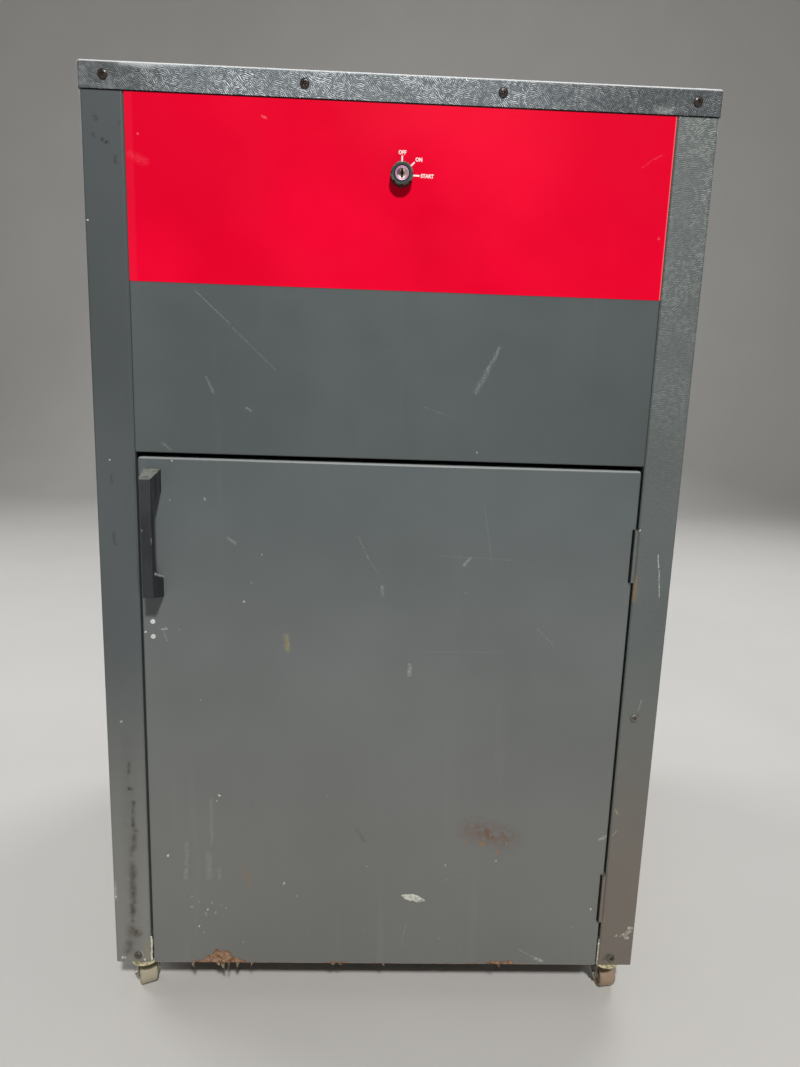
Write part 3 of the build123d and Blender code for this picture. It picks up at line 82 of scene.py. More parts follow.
# Marks, in millimetres: both ends (x, z), reach, strength, colour, raggedness. An end off the
# plane of the front has a third value, which says how far out it lies.
PANEL_MARKS = [
    ((-200, 806), (-166, 775), 0.8, 0.34, CHALK, 0.8), ((-164, 772), (-121, 732), 0.7, 0.30, CHALK, 0.8),
    ((105, 761), (94, 739), 3.0, 0.38, CHALK, 2.5), ((94, 739), (83, 717), 4.4, 0.26, CHALK, 2.5),
    ((-190, 722), (-184, 708), 2.2, 0.30, CHALK, 1.5), ((-150, 693), (-146, 690), 2.0, 0.40, CREAM, 1.5),
    ((30, 700), (60, 690), 0.6, 0.28, CHALK, 0.8), ((-236, 655), (-228, 648), 1.6, 0.36, CHALK, 1.5),
]
DOOR_MARKS = [
    ((-34, 563), (-22, 538), 0.8, 0.42, CHALK, 0.8), ((-22, 538), (-12, 524), 0.7, 0.34, CHALK, 0.8),
    ((-109, 450), (-107, 436), 5.0, 1.2, OLIVE, 2.5), ((-109, 444), (-108, 440), 1.6, 1.0, OCHRE, 1.5),
    ((104, 224), (146, 212), 24.0, 0.42, RUST_BROWN, BLOTCH),
    ((122, 219), (127, 213), 7.0, 0.6, RUST_BROWN, BLOTCH),
    ((97, 208), (98, 206), 2.0, 1.3, OCHRE, 1.5), ((115, 206), (119, 203), 2.8, 1.4, OCHRE, 1.5),
    ((135, 198), (135, 192), 1.8, 1.2, OCHRE, 1.5), ((76, 178), (76, 175), 1.6, 0.9, CHALK, 1.5),
    ((-192, 256), (-192, 200), 3.6, 0.42, SCUM, 2.5), ((-196, 187), (-196, 158), 6.0, 0.60, SCUM, 2.5),
    ((-220, 202), (-221, 172), 3.4, 0.60, SCUM, 2.5), ((-222, 166), (-222, 156), 3.6, 0.75, SCUM, 2.5),
    ((-184, 168), (-184, 156), 4.0, 0.45, SCUM, 2.5), ((-156, 172), (-150, 152), 10.0, 0.22, OCHRE, BLOTCH),
    ((163, 465), (183, 446), 0.8, 0.42, CHALK, 0.8), ((-243, 455), (-236, 456.5), 1.4, 1.1, CHALK, 1.5),
    ((-224, 455), (-223, 455), 1.4, 0.9, CHALK, 1.5), ((-240, 452), (-236, 442), 0.8, 0.7, CHALK, 0.8),
    ((98, 600), (110, 534), 1.0, 0.18, CHALK, 0.8), ((53, 544), (130, 541), 0.9, 0.15, CHALK, 0.8),
    ((86, 543), (80, 534), 2.4, 0.45, CHALK, 2.5), ((-170, 557), (-163, 552), 3.0, 0.50, CHALK, 2.5),
    ((26, 420), (26, 409), 3.4, 0.60, CHALK, 2.5), ((-7, 509), (-6, 500), 2.6, 0.45, CHALK, 2.5),
    ((42, 436), (127, 437), 0.8, 0.16, CHALK, 0.8), ((-28, 221), (-19, 206), 3.4, 0.35, SOOT, 2.5),
    ((168, 66), (190, 54), 1.2, 0.50, CHALK, 1.5), ((188, 54), (196, 51), 3.4, 1.1, CHALK, 2.5),
    ((253, 212), (260, 216), 3.0, 0.9, CHALK, 1.5), ((33, 101), (28, 69), 0.9, 0.30, CHALK, 0.8),
]
# Rust on the door: both ends and reach
DOOR_RUST = [
    ((-213, 42), (-198, 44), 10.0), ((-196, 46), (-188, 51), 15.0), ((-185, 52), (-180, 52), 18.0),
    ((-178, 48), (-162, 43), 14.0), ((-154, 41), (-96, 41), 7.5), ((-56, 42), (-38, 42), 9.0),
    ((-16, 41), (16, 41), 8.0), ((70, 41), (130, 41), 8.0), ((136, 43), (158, 43), 12.0),
]
LEFT_MARKS = [
    ((-282, 299), (-283, 286), 3.0, 0.9, SOOT, 1.5), ((-283, 268), (-281, 267), 3.8, 1.3, SOOT, 1.5),
    ((-278.5, 252), (-280, 222), 3.4, 0.9, SOOT, SOFT), ((-278, 216), (-282, 186), 5.4, 0.75, GRIME, SOFT),
    ((-281.6, 174), (-283.5, 112), 6.0, 0.85, GRIME, SOFT),
    ((-283.5, 150), (-284.5, 100), 4.4, 0.6, SOOT, SOFT),
    ((-286, 87), (-280, 85), 10.0, 1.1, GRIME, SOFT), ((-286, 80), (-292, 60), 8.0, 0.7, GRIME, SOFT),
    ((-268, 72), (-269, 52), 6.0, 0.45, OLIVE, SOFT), ((-283, 330), (-285, 58), 13.0, 0.30, OLD_DUST, SOFT),
    ((-291, 960), (-290, 959), 3.4, 0.9, SOOT, 1.5), ((-294, 945), (-292, 943), 2.8, 0.7, SOOT, 1.5),
    ((-285, 941), (-281, 938.5), 3.4, 1.1, SOOT, 1.5), ((-268.5, 957), (-268.5, 955), 2.6, 0.6, SOOT, 1.5),
    ((-273.6, 926), (-273.2, 921), 3.2, 0.7, SOOT, 1.5), ((-289, 620), (-289, 612), 2.8, 0.55, SOOT, 1.5),
    ((-289, 560), (-288, 548), 3.0, 0.6, SOOT, 1.5), ((-303, 150), (-302.5, 128), 2.2, 0.8, CREAM, 1.5),
    ((-275.4, 60), (-273.8, 55), 1.7, 0.9, CHALK, 0.8),
]
RIGHT_MARKS = [
    ((288, 551), (289.6, 537), 1.2, 1.4, CHALK, 0.8), ((290.6, 534), (293.8, 504), 1.1, 1.0, CHALK, 0.8),
    ((268, 250), (272, 244), 1.8, 0.6, CREAM, 1.5), ((276, 60), (272, 54), 4.0, 0.6, SOOT, 1.5),
    ((265, 526), (265.6, 500), 4.6, 0.8, OCHRE, 2.5), ((267, 112), (267, 100), 2.2, 0.5, OCHRE, 2.5),
    ((283, 372), (286, 384), 1.2, 0.6, CREAM, 1.5), ((268, 218), (273, 224), 1.6, 0.6, CHALK, 1.5),
]
PULL_MARKS = [
    # The first mark is the worn upper edge of the lower foot, painted bright as its highlight
    ((-241.2, 523.4, 23), (-238.6, 515.0, 1), 3.2, 1.8, WORN_EDGE_HIGHLIGHT, 0.8),
    ((-251, 569, 30), (-251, 568, 30), 1.2, 0.8, CHALK, 0.8),
    ((-242, 561, 30), (-242, 555, 30), 1.0, 0.6, CHALK, 0.8),
]
LABEL_MARKS = [
    ((-262, 897), (-261, 888), 1.3, 0.5, SOOT, 0.8), ((-259, 929), (-246, 923), 6.0, 0.40, ROSE, 2.5),
    ((-252, 947.5), (-251.5, 947), 1.6, 1.2, BRIGHT_ROSE, 0.8),
    ((-134, 967.4), (-130, 966), 1.7, 0.8, PINK, 0.8),
    ((234, 936.5), (243, 944), 0.9, 0.45, DULL_PINK, 0.8),
    ((243, 944), (254.5, 949.5), 0.9, 0.45, DULL_PINK, 0.8),
    ((256.5, 872.5), (256.5, 871.5), 1.5, 0.7, PINK, 0.8), ((208, 800), (212, 801), 1.0, 0.8, PALE_PINK, 0.8),
]


# Finishes

def linear(red, green, blue):
    """Linear colour of a swatch given in 0 to 255 display values."""
    swatch = np.array([red, green, blue]) / 255
    light = np.where(swatch <= 0.04045, swatch / 12.92, ((swatch + 0.055) / 1.055) ** 2.4)
    return (*light.tolist(), 1.0)


def shades(swatch, darker, lighter):
    """A swatch made darker and made lighter by so many display values."""
    return tuple(max(0, v - darker) for v in swatch), tuple(v + lighter for v in swatch)


def make_mark_group():
    """Soft-edged mark along a line: 1 on the segment From-To, falling smoothly to 0 at Reach."""
    group = bpy.data.node_groups.new("mark", "ShaderNodeTree")
    for label in ("Place", "From", "To"):
        group.interface.new_socket(label, in_out="INPUT", socket_type="NodeSocketVector")
    group.interface.new_socket("Reach", in_out="INPUT", socket_type="NodeSocketFloat")
    group.interface.new_socket("Mask", in_out="OUTPUT", socket_type="NodeSocketFloat")
    entry = group.nodes.new("NodeGroupInput").outputs
    exit_node = group.nodes.new("NodeGroupOutput")

    def vector(operation, a, b=None):
        node = group.nodes.new("ShaderNodeVectorMath")
        node.operation = operation
        group.links.new(a, node.inputs[0])
        if b is not None:
            group.links.new(b, node.inputs[3 if operation == "SCALE" else 1])
        return node.outputs["Value" if operation in ("DOT_PRODUCT", "LENGTH") else "Vector"]

    from_start = vector("SUBTRACT", entry["Place"], entry["From"])
    line = vector("SUBTRACT", entry["To"], entry["From"])
    share = group.nodes.new("ShaderNodeMath")
    share.operation = "DIVIDE"
    share.use_clamp = True
    group.links.new(vector("DOT_PRODUCT", from_start, line), share.inputs[0])
    group.links.new(vector("DOT_PRODUCT", line, line), share.inputs[1])
    away = vector("LENGTH", vector("SUBTRACT", from_start, vector("SCALE", line, share.outputs[0])))
    fall = group.nodes.new("ShaderNodeMapRange")
    fall.interpolation_type = "SMOOTHSTEP"
    fall.inputs["To Min"].default_value = 1
    fall.inputs["To Max"].default_value = 0
    group.links.new(away, fall.inputs["Value"])
    group.links.new(entry["Reach"], fall.inputs["From Max"])
    group.links.new(fall.outputs["Result"], exit_node.inputs["Mask"])
    return group


MARK = make_mark_group()
# Scale at which a band pattern repeats once a millimetre
BAND_SCALE = 2 * pi / 20 / MM


class Finish:
    """One procedural finish. Its colour is laid on in layers, each over the last; the other
    methods add nodes to its graph and return an output."""

    def __init__(self, name, roughness=0.5, metallic=0.0, **sockets):
        self.material = bpy.data.materials.new(name)
        self.material.use_nodes = True
        self.tree = self.material.node_tree
        self.shader = self.tree.nodes["Principled BSDF"]
        self.shader.inputs["Metallic"].default_value = metallic
        self.shader.inputs["Roughness"].default_value = roughness
        for label, value in sockets.items():
            self.shader.inputs[label.replace("_", " ")].default_value = value
        self.place = self.node("ShaderNodeTexCoord").outputs["Object"]
        self.color = None
        self.normal = None

    def node(self, kind, inputs=None, **settings):
        """Adds a node. Each input is joined to an output or set to a plain value."""
        made = self.tree.nodes.new(kind)
        for label, value in settings.items():
            setattr(made, label, value)
        for label, value in (inputs or {}).items():
            if isinstance(value, bpy.types.NodeSocket):
                self.tree.links.new(value, made.inputs[label])
            else:
                made.inputs[label].default_value = value
        return made

    def placed(self, stretch=(1, 1, 1), turn=(0, 0, 0), shift=(0, 0, 0)):
        """Object coordinates from a shifted origin, turned (degrees), then made finer by stretch."""
        return self.node("ShaderNodeMapping", {
            "Vector": self.place, "Location": shift,
            "Rotation": tuple(radians(a) for a in turn), "Scale": tuple(1 / s for s in stretch),
        }, vector_type="TEXTURE").outputs["Vector"]

    def noise(self, scale, detail=2.0, rough=0.5, at=None):
        """Fractal noise, from 0 to 1."""
        return self.node("ShaderNodeTexNoise", {
            "Vector": at or self.place, "Scale": scale, "Detail": detail, "Roughness": rough,
        }).outputs["Fac"]

    def band(self, value, low, high, to_low=0.0, to_high=1.0):
        """Smooth step of value from to_low at low to to_high at high."""
        return self.node("ShaderNodeMapRange", {
            "Value": value, "From Min": low, "From Max": high, "To Min": to_low, "To Max": to_high,
        }, interpolation_type="SMOOTHSTEP").outputs["Result"]

    def clouds(self, scale, detail=2.0, rough=0.5, to_low=0.0, to_high=1.0):
        """Soft clouds between two values: the middle range of a noise, made wider."""
        return self.band(self.noise(scale, detail, rough), 0.3, 0.7, to_low, to_high)

    def axis(self, which, source=None):
        """One coordinate of the place, or of another vector or colour."""
        return self.node("ShaderNodeSeparateXYZ", {0: source or self.place}).outputs[which]

    def along(self, which, low, high, to_low=0.0, to_high=1.0):
        """Smooth step along one axis, between two places in metres."""
        return self.band(self.axis(which), low, high, to_low, to_high)

    def faces(self, which):
        """How far the surface faces along an axis, from -1 to 1."""
        return self.axis(which, self.node("ShaderNodeNewGeometry").outputs["Normal"])

    def math(self, operation, a, b=0.0, clamp=False):
        """Result of one operation on numbers. One that takes a single number leaves b out."""
        return self.node("ShaderNodeMath", {0: a, 1: b}, operation=operation, use_clamp=clamp).outputs[0]

    def times(self, a, b, clamp=False):
        """Product of two numbers, each an output or a plain value."""
        return self.math("MULTIPLY", a, b, clamp)

    def blend(self, factor, a, b):
        """Number between a and b."""
        return self.node("ShaderNodeMix", {0: factor, 2: a, 3: b}, data_type="FLOAT").outputs[0]

    def mix(self, factor, a, b):
        """Colour between a and b, each an output or a swatch."""
        a, b = (c if isinstance(c, bpy.types.NodeSocket) else linear(*c) for c in (a, b))
        return self.node("ShaderNodeMix", {0: factor, 6: a, 7: b}, data_type="RGBA").outputs[2]

    def coat(self, mask, dark, light):
        """Lays the first coat: one colour where the mask is low and another where it is high."""
        self.color = self.mix(mask, dark, light)

    def paint(self, mask, color):
        """Lays a colour over what is there, as thickly as the mask says."""
        self.color = self.mix(mask, self.color, color)

    def wobbled(self, scale, amount):
        """Object coordinates shaken by a noise of the given scale, amount in millimetres."""
        shake = self.node("ShaderNodeTexNoise", {"Vector": self.place, "Scale": scale, "Detail": 3.0})
        centred = self.node("ShaderNodeVectorMath", {
            0: shake.outputs["Color"], 1: (0.5, 0.5, 0.5),
        }, operation="SUBTRACT").outputs["Vector"]
        scaled = self.node("ShaderNodeVectorMath", {
            0: centred, "Scale": amount * MM * 2,
        }, operation="SCALE").outputs["Vector"]
        return self.node("ShaderNodeVectorMath", {
            0: self.place, 1: scaled,
        }, operation="ADD").outputs["Vector"]

    def mark(self, start, end, reach, place):
        """Mask of a mark between two ends in millimetres, reach wide, at shaken coordinates."""
        first, last = ((x * MM, FRONT - sum(out) * MM, z * MM) for x, z, *out in (start, end))
        return self.node("ShaderNodeGroup", {
            "Place": place, "From": first, "To": last, "Reach": reach * MM,
        }, node_tree=MARK).outputs["Mask"]

    def draw(self, marks):
        """Paints marks. The raggedness of each chooses how it is shaken and broken up."""
        fine = self.band(self.noise(500.0, 4.0, 0.65), 0.35, 0.62)
        coarse = self.band(self.noise(150.0, 5.0, 0.7), 0.38, 0.56)
        soft = self.band(self.noise(110.0, 3.0, 0.6), 0.30, 0.62, 0.25, 1.0)
        shaken = {}
        for start, end, reach, strength, color, ragged in marks:
            if ragged not in shaken:
                shaken[ragged] = self.wobbled(90.0 if ragged >= SOFT else 260.0, ragged)
            texture = coarse if ragged == BLOTCH else soft if ragged == SOFT else fine
            mask = self.times(self.mark(start, end, reach, shaken[ragged]), strength)
            self.paint(self.times(mask, texture, clamp=True), color)

    def speckle(self, color, scale, share, size, low=0.0, high=2.0):
        """Paints small spatters: the middles of a share of the cells of a cell pattern, between
        two heights."""
        pattern = self.node("ShaderNodeTexVoronoi", {"Vector": self.place, "Scale": scale})
        chosen = self.band(self.axis("X", pattern.outputs["Color"]), 1 - share, 1 - share + 0.02)
        middle = self.band(pattern.outputs["Distance"], size * 0.6, size, 1.0, 0.0)
        inside = self.times(self.along("Z", low, low + 0.1), self.along("Z", high - 0.1, high, 1.0, 0.0))
        self.paint(self.times(self.times(chosen, middle), inside), color)

    def bump(self, height, depth):
        """Adds relief: height 0 to 1 over depth in millimetres."""
        inputs = {"Height": height, "Distance": depth * MM, "Strength": 1.0}
        if self.normal is not None:
            inputs["Normal"] = self.normal
        self.normal = self.node("ShaderNodeBump", inputs).outputs["Normal"]

    def done(self, roughness=None):
        """Joins the colour, relief and any changing roughness to the shader and returns the material."""
        for label, output in (("Base Color", self.color), ("Normal", self.normal), ("Roughness", roughness)):
            if output is not None:
                self.tree.links.new(output, self.shader.inputs[label])
        return self.material


def rusted(finish, marks):
    """Rust along marks: browns in ragged grains, pale peeling flecks, a darker rim and a stain
    round it. Returns where it has eaten the enamel."""
    ragged = finish.wobbled(120.0, 2.0)
    mask = finish.mark(*marks[0], ragged)
    for mark in marks[1:]:
        mask = finish.math("MAXIMUM", mask, finish.mark(*mark, ragged))
    level = finish.math("ADD", mask, finish.times(finish.noise(210.0, 6.0, 0.72), 1.3))
    grains = finish.band(finish.noise(150.0, 4.0, 0.65), 0.36, 0.58)
    flecks = finish.band(finish.noise(480.0, 3.0), 0.58, 0.64, 0.0, 0.7)
    rust = finish.mix(grains, (112, 76, 48), (158, 126, 100))
    rust = finish.mix(flecks, rust, (192, 174, 152))
    rust = finish.mix(finish.band(level, 1.22, 1.12, 0.0, 0.9), rust, (118, 72, 40))
    finish.paint(finish.times(finish.band(level, 0.86, 1.08), 0.45), (112, 96, 74))
    eaten = finish.band(level, 1.03, 1.10)
    finish.paint(eaten, rust)
    return eaten


def smooth_enamel(name, shade, marks, rust_marks=(), painted_shade_right=0.0):
    """Smooth grey enamel: faint mottling, orange peel, dust and painted floor bounce towards the floor, painted
    shade towards the top, painted highlights on its edges, streaks and marks.
    """
    finish = Finish(name, 0.42, Specular_IOR_Level=0.45)
    finish.coat(finish.clouds(5.0, 3.0, 0.55), *shades(shade, 4, 5))
    # painted shade darkening the right end
    if painted_shade_right:
        finish.paint(finish.along("X", -0.05, 0.27, 0.0, painted_shade_right), (60, 64, 66))
    # painted shade: darker and cooler towards the top
    finish.paint(finish.along("Z", 0.40, 0.66, 0.0, 0.4), (80, 90, 93))
    # paler towards the floor: dust, and painted light bounced up from the floor
    dust_and_floor_bounce = finish.along("Z", 0.66, 0.05, 0.0, 0.55)
    finish.paint(dust_and_floor_bounce, (123, 121, 115))
    streaks = finish.band(finish.noise(1.0, 4.0, 0.6, at=finish.placed((46, 46, 2.4))), 0.56, 0.78)
    finish.paint(finish.times(streaks, finish.along("Z", 0.45, 0.12, 0.05, 0.30)), (136, 136, 130))
    hairlines = finish.noise(1.0, 1.0, 0.5, at=finish.placed((1500, 1500, 26), (0, 31, 0)))
    patches = finish.band(finish.noise(11.0, 2.0), 0.55, 0.72)
    hairlines = finish.times(finish.band(hairlines, 0.76, 0.80), patches)
    finish.paint(finish.times(hairlines, 0.22), CHALK)
    finish.speckle((168, 168, 160), 34.0, 0.10, 0.042, 0.0, 0.72)
    finish.speckle((160, 158, 146), 62.0, 0.07, 0.05, 0.0, 0.36)
    finish.speckle((74, 64, 52), 48.0, 0.06, 0.05, 0.0, 0.4)
    finish.draw(marks)
    # painted highlight on faces that turn up to the light, such as the top edge
    top_edge_highlight = finish.band(finish.faces("Z"), 0.25, 0.75, 0.0, 0.65)
    finish.paint(top_edge_highlight, (176, 182, 180))
    # painted highlight along the fold of the door's bottom edge
    bottom_fold_highlight = finish.along("Z", 46.9 * MM, 46.1 * MM, 0.0, 0.8)
    finish.paint(bottom_fold_highlight, (162, 144, 134))
    finish.bump(finish.noise(260.0, 2.0), 0.03)
    rough = finish.clouds(9.0, 4.0, 0.6, 0.36, 0.50)
    if rust_marks:
        rough = finish.blend(rusted(finish, rust_marks), rough, 0.9)
        blistered = finish.along("Z", 0.066, 0.052)
        finish.bump(finish.times(blistered, finish.noise(330.0, 4.0)), 0.2)
    return finish.done(rough)


def shadow_line(finish):
    """Mask of the narrow shadow just under the lip of the cover."""
    return finish.along("Z", COVER_LIP - 1.9 * MM, COVER_LIP - 1.0 * MM)


def grained_enamel(name, shade, highlight_shade, highlight_share, full_from=None, painted_shade_left=0.0, painted_shade_right=0.0,
                   painted_shade_top=0.0, relief=0.10, worn=(), marks=(), dust_and_bounce_shade=(116, 106, 96),
                   dust_and_bounce_share=0.4, slants=(52, 14), hollow_shade_share=0.42, spacing=1.8,
                   swirl=(9.0, 0.62), dashes=230.0, flange=False):
    """Embossed grain: short wrinkles a few millimetres apart, in bunches of two slants (degrees
    down to the right), with painted highlights on their crests and painted shade in their hollows.

    full_from gives the heights between which the painted highlights grow from nothing to full strength,
    painted_shade_left, painted_shade_right and painted_shade_top how much painted shade darkens each end
    (the left and right ends also lose highlights), relief the wrinkles' depth and
    spacing their distance in mm, swirl how strongly and how finely they bend, and dashes the
    fineness of the noise that breaks them up. worn lists rubbed places, and flange adds the
    painted shadow under the cover and a painted highlight on the edge beside the door.
    """
    finish = Finish(name, 0.42, Specular_IOR_Level=0.5)
    bunches = [
        finish.node("ShaderNodeTexWave", {
            "Vector": finish.placed((1, 1, 1), (0, slant, 0)), "Scale": BAND_SCALE / spacing,
            "Distortion": swirl[0], "Detail": 2.0, "Detail Scale": swirl[1], "Detail Roughness": 0.5,
        }, wave_type="BANDS", bands_direction="Z").outputs["Fac"]
        for slant in slants
    ]
    wrinkles = finish.blend(finish.band(finish.noise(85.0, 2.0), 0.45, 0.55), *bunches)
    broken = finish.band(finish.noise(dashes, 2.0, 0.5), 0.42, 0.60, 0.05, 1.0)
    crests = finish.times(finish.band(wrinkles, 0.58, 0.95), broken)
    patches = finish.band(finish.noise(22.0, 2.0), 0.32, 0.62, 0.40, 1.0)
    # painted highlights on the crests, broken into patches
    crest_highlights = finish.times(crests, finish.times(patches, highlight_share))
    if full_from:
        crest_highlights = finish.times(crest_highlights, finish.along("Z", *full_from))
    finish.coat(finish.clouds(6.0, 3.0), *shades(shade, 4, 4))
    # painted shade darkening the top
    if painted_shade_top:
        finish.paint(finish.along("Z", 0.55, 0.95, 0.0, painted_shade_top), (62, 68, 72))
    # painted shade darkening each end, which also dims the painted highlights there
    for amount, low, high in ((painted_shade_left, -0.20, -0.26), (painted_shade_right, 0.06, 0.24)):
        if amount:
            end = finish.along("X", low, high)
            finish.paint(finish.times(end, amount), (58, 62, 64))
            crest_highlights = finish.times(crest_highlights, finish.math("SUBTRACT", 1.0, finish.times(end, 0.74)))
    # painted shade in the hollows between the wrinkles
    finish.paint(finish.times(finish.band(wrinkles, 0.42, 0.10), hollow_shade_share), (50, 54, 56))
    # painted highlights laid over the crests
    finish.paint(crest_highlights, highlight_shade)
    # paler towards the floor: dust, and painted light bounced up from the floor
    finish.paint(finish.along("Z", 0.5, 0.08, 0.0, dust_and_bounce_share), dust_and_bounce_shade)
    finish.draw(marks)
    for start, end, reach in worn:
        patchy = finish.mark(start, end, reach, finish.wobbled(60.0, 4.0))
        finish.paint(finish.times(patchy, 1.3, clamp=True), (164, 170, 172))
    # painted highlight along the rounded folds that turn up to the light
    up = finish.faces("Z")
    fold_highlight = finish.times(finish.band(up, 0.2, 0.6), finish.band(up, 0.97, 0.999, 1.0, 0.0))
    finish.paint(finish.times(fold_highlight, 0.8), (228, 231, 232))
    if flange:
        ahead = finish.band(finish.faces("Y"), -0.9, -0.95)
        finish.paint(finish.times(ahead, shadow_line(finish)), (16, 17, 18))
        # painted highlight on the flange's edge beside the door
        door_edge_highlight = finish.band(finish.math("ABSOLUTE", finish.axis("X")), 265.4 * MM, 265.0 * MM, 0.0, 0.4)
        finish.paint(door_edge_highlight, (132, 142, 138))
    finish.bump(wrinkles, relief)
    finish.bump(finish.noise(900.0, 2.0), 0.02)
    return finish.done(finish.band(crests, 0.0, 1.0, 0.48, 0.36))


def label_red():
    """Satin red film: faint mottling, a few pale nicks and a dark scuff."""
    finish = Finish("red_film", 0.42, Specular_IOR_Level=0.06)
    finish.coat(finish.clouds(7.0, 3.0), (228, 0, 42), (242, 4, 50))
    finish.speckle((240, 96, 110), 42.0, 0.08, 0.04)
    aside = finish.band(finish.math("ABSOLUTE", finish.axis("X")), 0.09, 0.23, 0.0, 0.75)
    finish.paint(finish.times(aside, finish.along("Z", 0.83, 0.90)), (222, 0, 42))
    right_rim = finish.along("X", 0.2620, 0.2630, 0.0, 0.75)
    finish.paint(right_rim, (250, 120, 120))
    faded_left = finish.along("X", -0.2550, -0.2572, 0.0, 0.26)
    finish.paint(faded_left, (240, 36, 66))
    finish.draw(LABEL_MARKS)
    finish.paint(shadow_line(finish), (44, 6, 12))
    finish.bump(finish.noise(120.0, 2.0), 0.02)
    return finish.done(finish.clouds(12.0, 4.0, 0.5, 0.30, 0.40))


def plated(name, shade, roughness=0.35, variation=16, grain=70.0, dull=0.5, stain=None):
    """Plated or bare metal: cloudy tone, fine grain relief and, if asked, stains in patches."""
    finish = Finish(name, roughness, 1.0)
    finish.coat(finish.clouds(grain, 4.0, 0.6), *shades(shade, variation, 0))
    if stain:
        finish.paint(finish.band(finish.noise(30.0, 5.0, 0.65), 0.55, 0.72, 0.0, 0.7), stain)
    finish.bump(finish.noise(1400.0, 3.0), 0.02)
    return finish.done(finish.clouds(grain * 1.7, 3.0, 0.5, roughness, min(1.0, roughness + dull * 0.3)))


def turned(name, shade):
    """Turned metal: fine rings along the axis."""
    finish = Finish(name, 0.3, 1.0)
    rings = finish.noise(1.0, 2.0, 0.6, at=finish.placed((3, 3, 2200)))
    finish.coat(finish.band(rings, 0.3, 0.7), *shades(shade, 18, 0))
    finish.bump(rings, 0.02)
    return finish.done(finish.band(rings, 0.3, 0.7, 0.3, 0.42))


def from_key(finish):
    """Coordinates flattened on the key switch, from its middle, and the distance from its axis."""
    centred = finish.placed((1, 0.001, 1), shift=(KEY_X, 0, KEY_Z))
    return centred, finish.node("ShaderNodeVectorMath", {0: centred}, operation="LENGTH").outputs["Value"]


def lock_metal():
    """Worn lock plating: rosy rim with fine rings and a darker dish, painted paler on its right and low down as
    highlights, darker in its middle and black in its slot as shade.
    """
    finish = Finish("lock_metal", 0.36, 1.0)
    centred, away = from_key(finish)
    rings = finish.node("ShaderNodeTexWave", {
        "Vector": centred, "Scale": 330.0, "Distortion": 1.5, "Detail": 2.0,
    }, wave_type="RINGS", rings_direction="Y").outputs["Fac"]
    # painted reflection: the dish is darker on its left and paler on its right
    across = finish.band(finish.axis("X", centred), -0.003, 0.003)
    finish.coat(across, (112, 84, 98), (160, 150, 132))
    # painted highlight: a pale crescent low in the dish
    low = finish.band(finish.axis("Z", centred), -0.8 * MM, -2.6 * MM)
    crescent_highlight = finish.times(low, finish.band(away, 2.8 * MM, 3.6 * MM, 0.0, 0.8))
    finish.paint(crescent_highlight, (214, 208, 192))
    # painted shade towards the dish's middle, round the slot
    cavity_shade = finish.band(away, 3.2 * MM, 1.4 * MM, 0.0, 0.75)
    finish.paint(cavity_shade, (52, 40, 44))
    rim = finish.mix(finish.band(rings, 0.2, 0.8), (146, 100, 130), (204, 162, 190))
    finish.paint(finish.band(away, 4.6 * MM, 4.9 * MM), rim)
    finish.paint(finish.band(finish.noise(500.0, 3.0), 0.55, 0.7, 0.0, 0.5), (104, 92, 92))
    # painted shade: the slot is black below the face
    slot_shade = finish.along("Y", LOCK_FACE + 1.0 * MM, LOCK_FACE + 1.5 * MM)
    finish.paint(slot_shade, (10, 10, 10))
    finish.bump(rings, 0.04)
    return finish.done(finish.band(rings, 0.0, 1.0, 0.32, 0.46))


def bezel_plastic():
    """Dark bezel: greenish black with a patchy painted highlight on its bevel and rim, and painted shade in its
    bore.
    """
    finish = Finish("bezel_plastic", 0.3, Specular_IOR_Level=0.5)
    finish.coat(finish.clouds(60.0, 3.0), (50, 60, 56), (62, 74, 68))
    away = from_key(finish)[1]
    ahead = finish.faces("Y")
    # painted highlight on the bevel round the rim, broken up in patches
    rim = finish.times(finish.band(away, 9.0 * MM, 9.6 * MM), finish.band(ahead, -0.2, -0.6))
    patchy = finish.band(finish.noise(130.0, 4.0), 0.40, 0.60, 0.10, 0.8)
    finish.paint(finish.times(rim, patchy), (106, 124, 115))
    # painted shade in the bore round the plug
    bore_shade = finish.band(away, 7.5 * MM, 7.2 * MM)
    finish.paint(bore_shade, (16, 18, 18))
    finish.paint(finish.band(ahead, -0.5, -0.1), (34, 36, 36))
    finish.bump(finish.noise(300.0, 2.0), 0.03)
    return finish.done(finish.band(ahead, -0.5, -0.1, 0.26, 0.6))


def hinge_enamel():
    """Hinge painted like the cabinet: painted black shade on its side towards the door's edge, and rusty freckles.
    """
    finish = Finish("hinge_enamel", 0.55, Specular_IOR_Level=0.4)
    finish.coat(finish.clouds(40.0, 3.0), (92, 96, 94), (102, 105, 102))
    # paler and browner towards the floor, like the flanges: dust and painted floor bounce
    finish.paint(finish.along("Z", 0.5, 0.08, 0.0, 0.75), (122, 108, 96))
    freckles = finish.band(finish.noise(240.0, 5.0, 0.7), 0.60, 0.68, 0.0, 0.7)
    finish.paint(freckles, (126, 108, 88))
    # painted shade in the gap between the knuckle and the door's edge
    dark_mask = finish.along("X", HINGE_X - 1.0 * MM, HINGE_X - 1.9 * MM)
    finish.paint(dark_mask, (12, 13, 13))
    finish.bump(finish.noise(300.0, 2.0), 0.05)
    return finish.done()


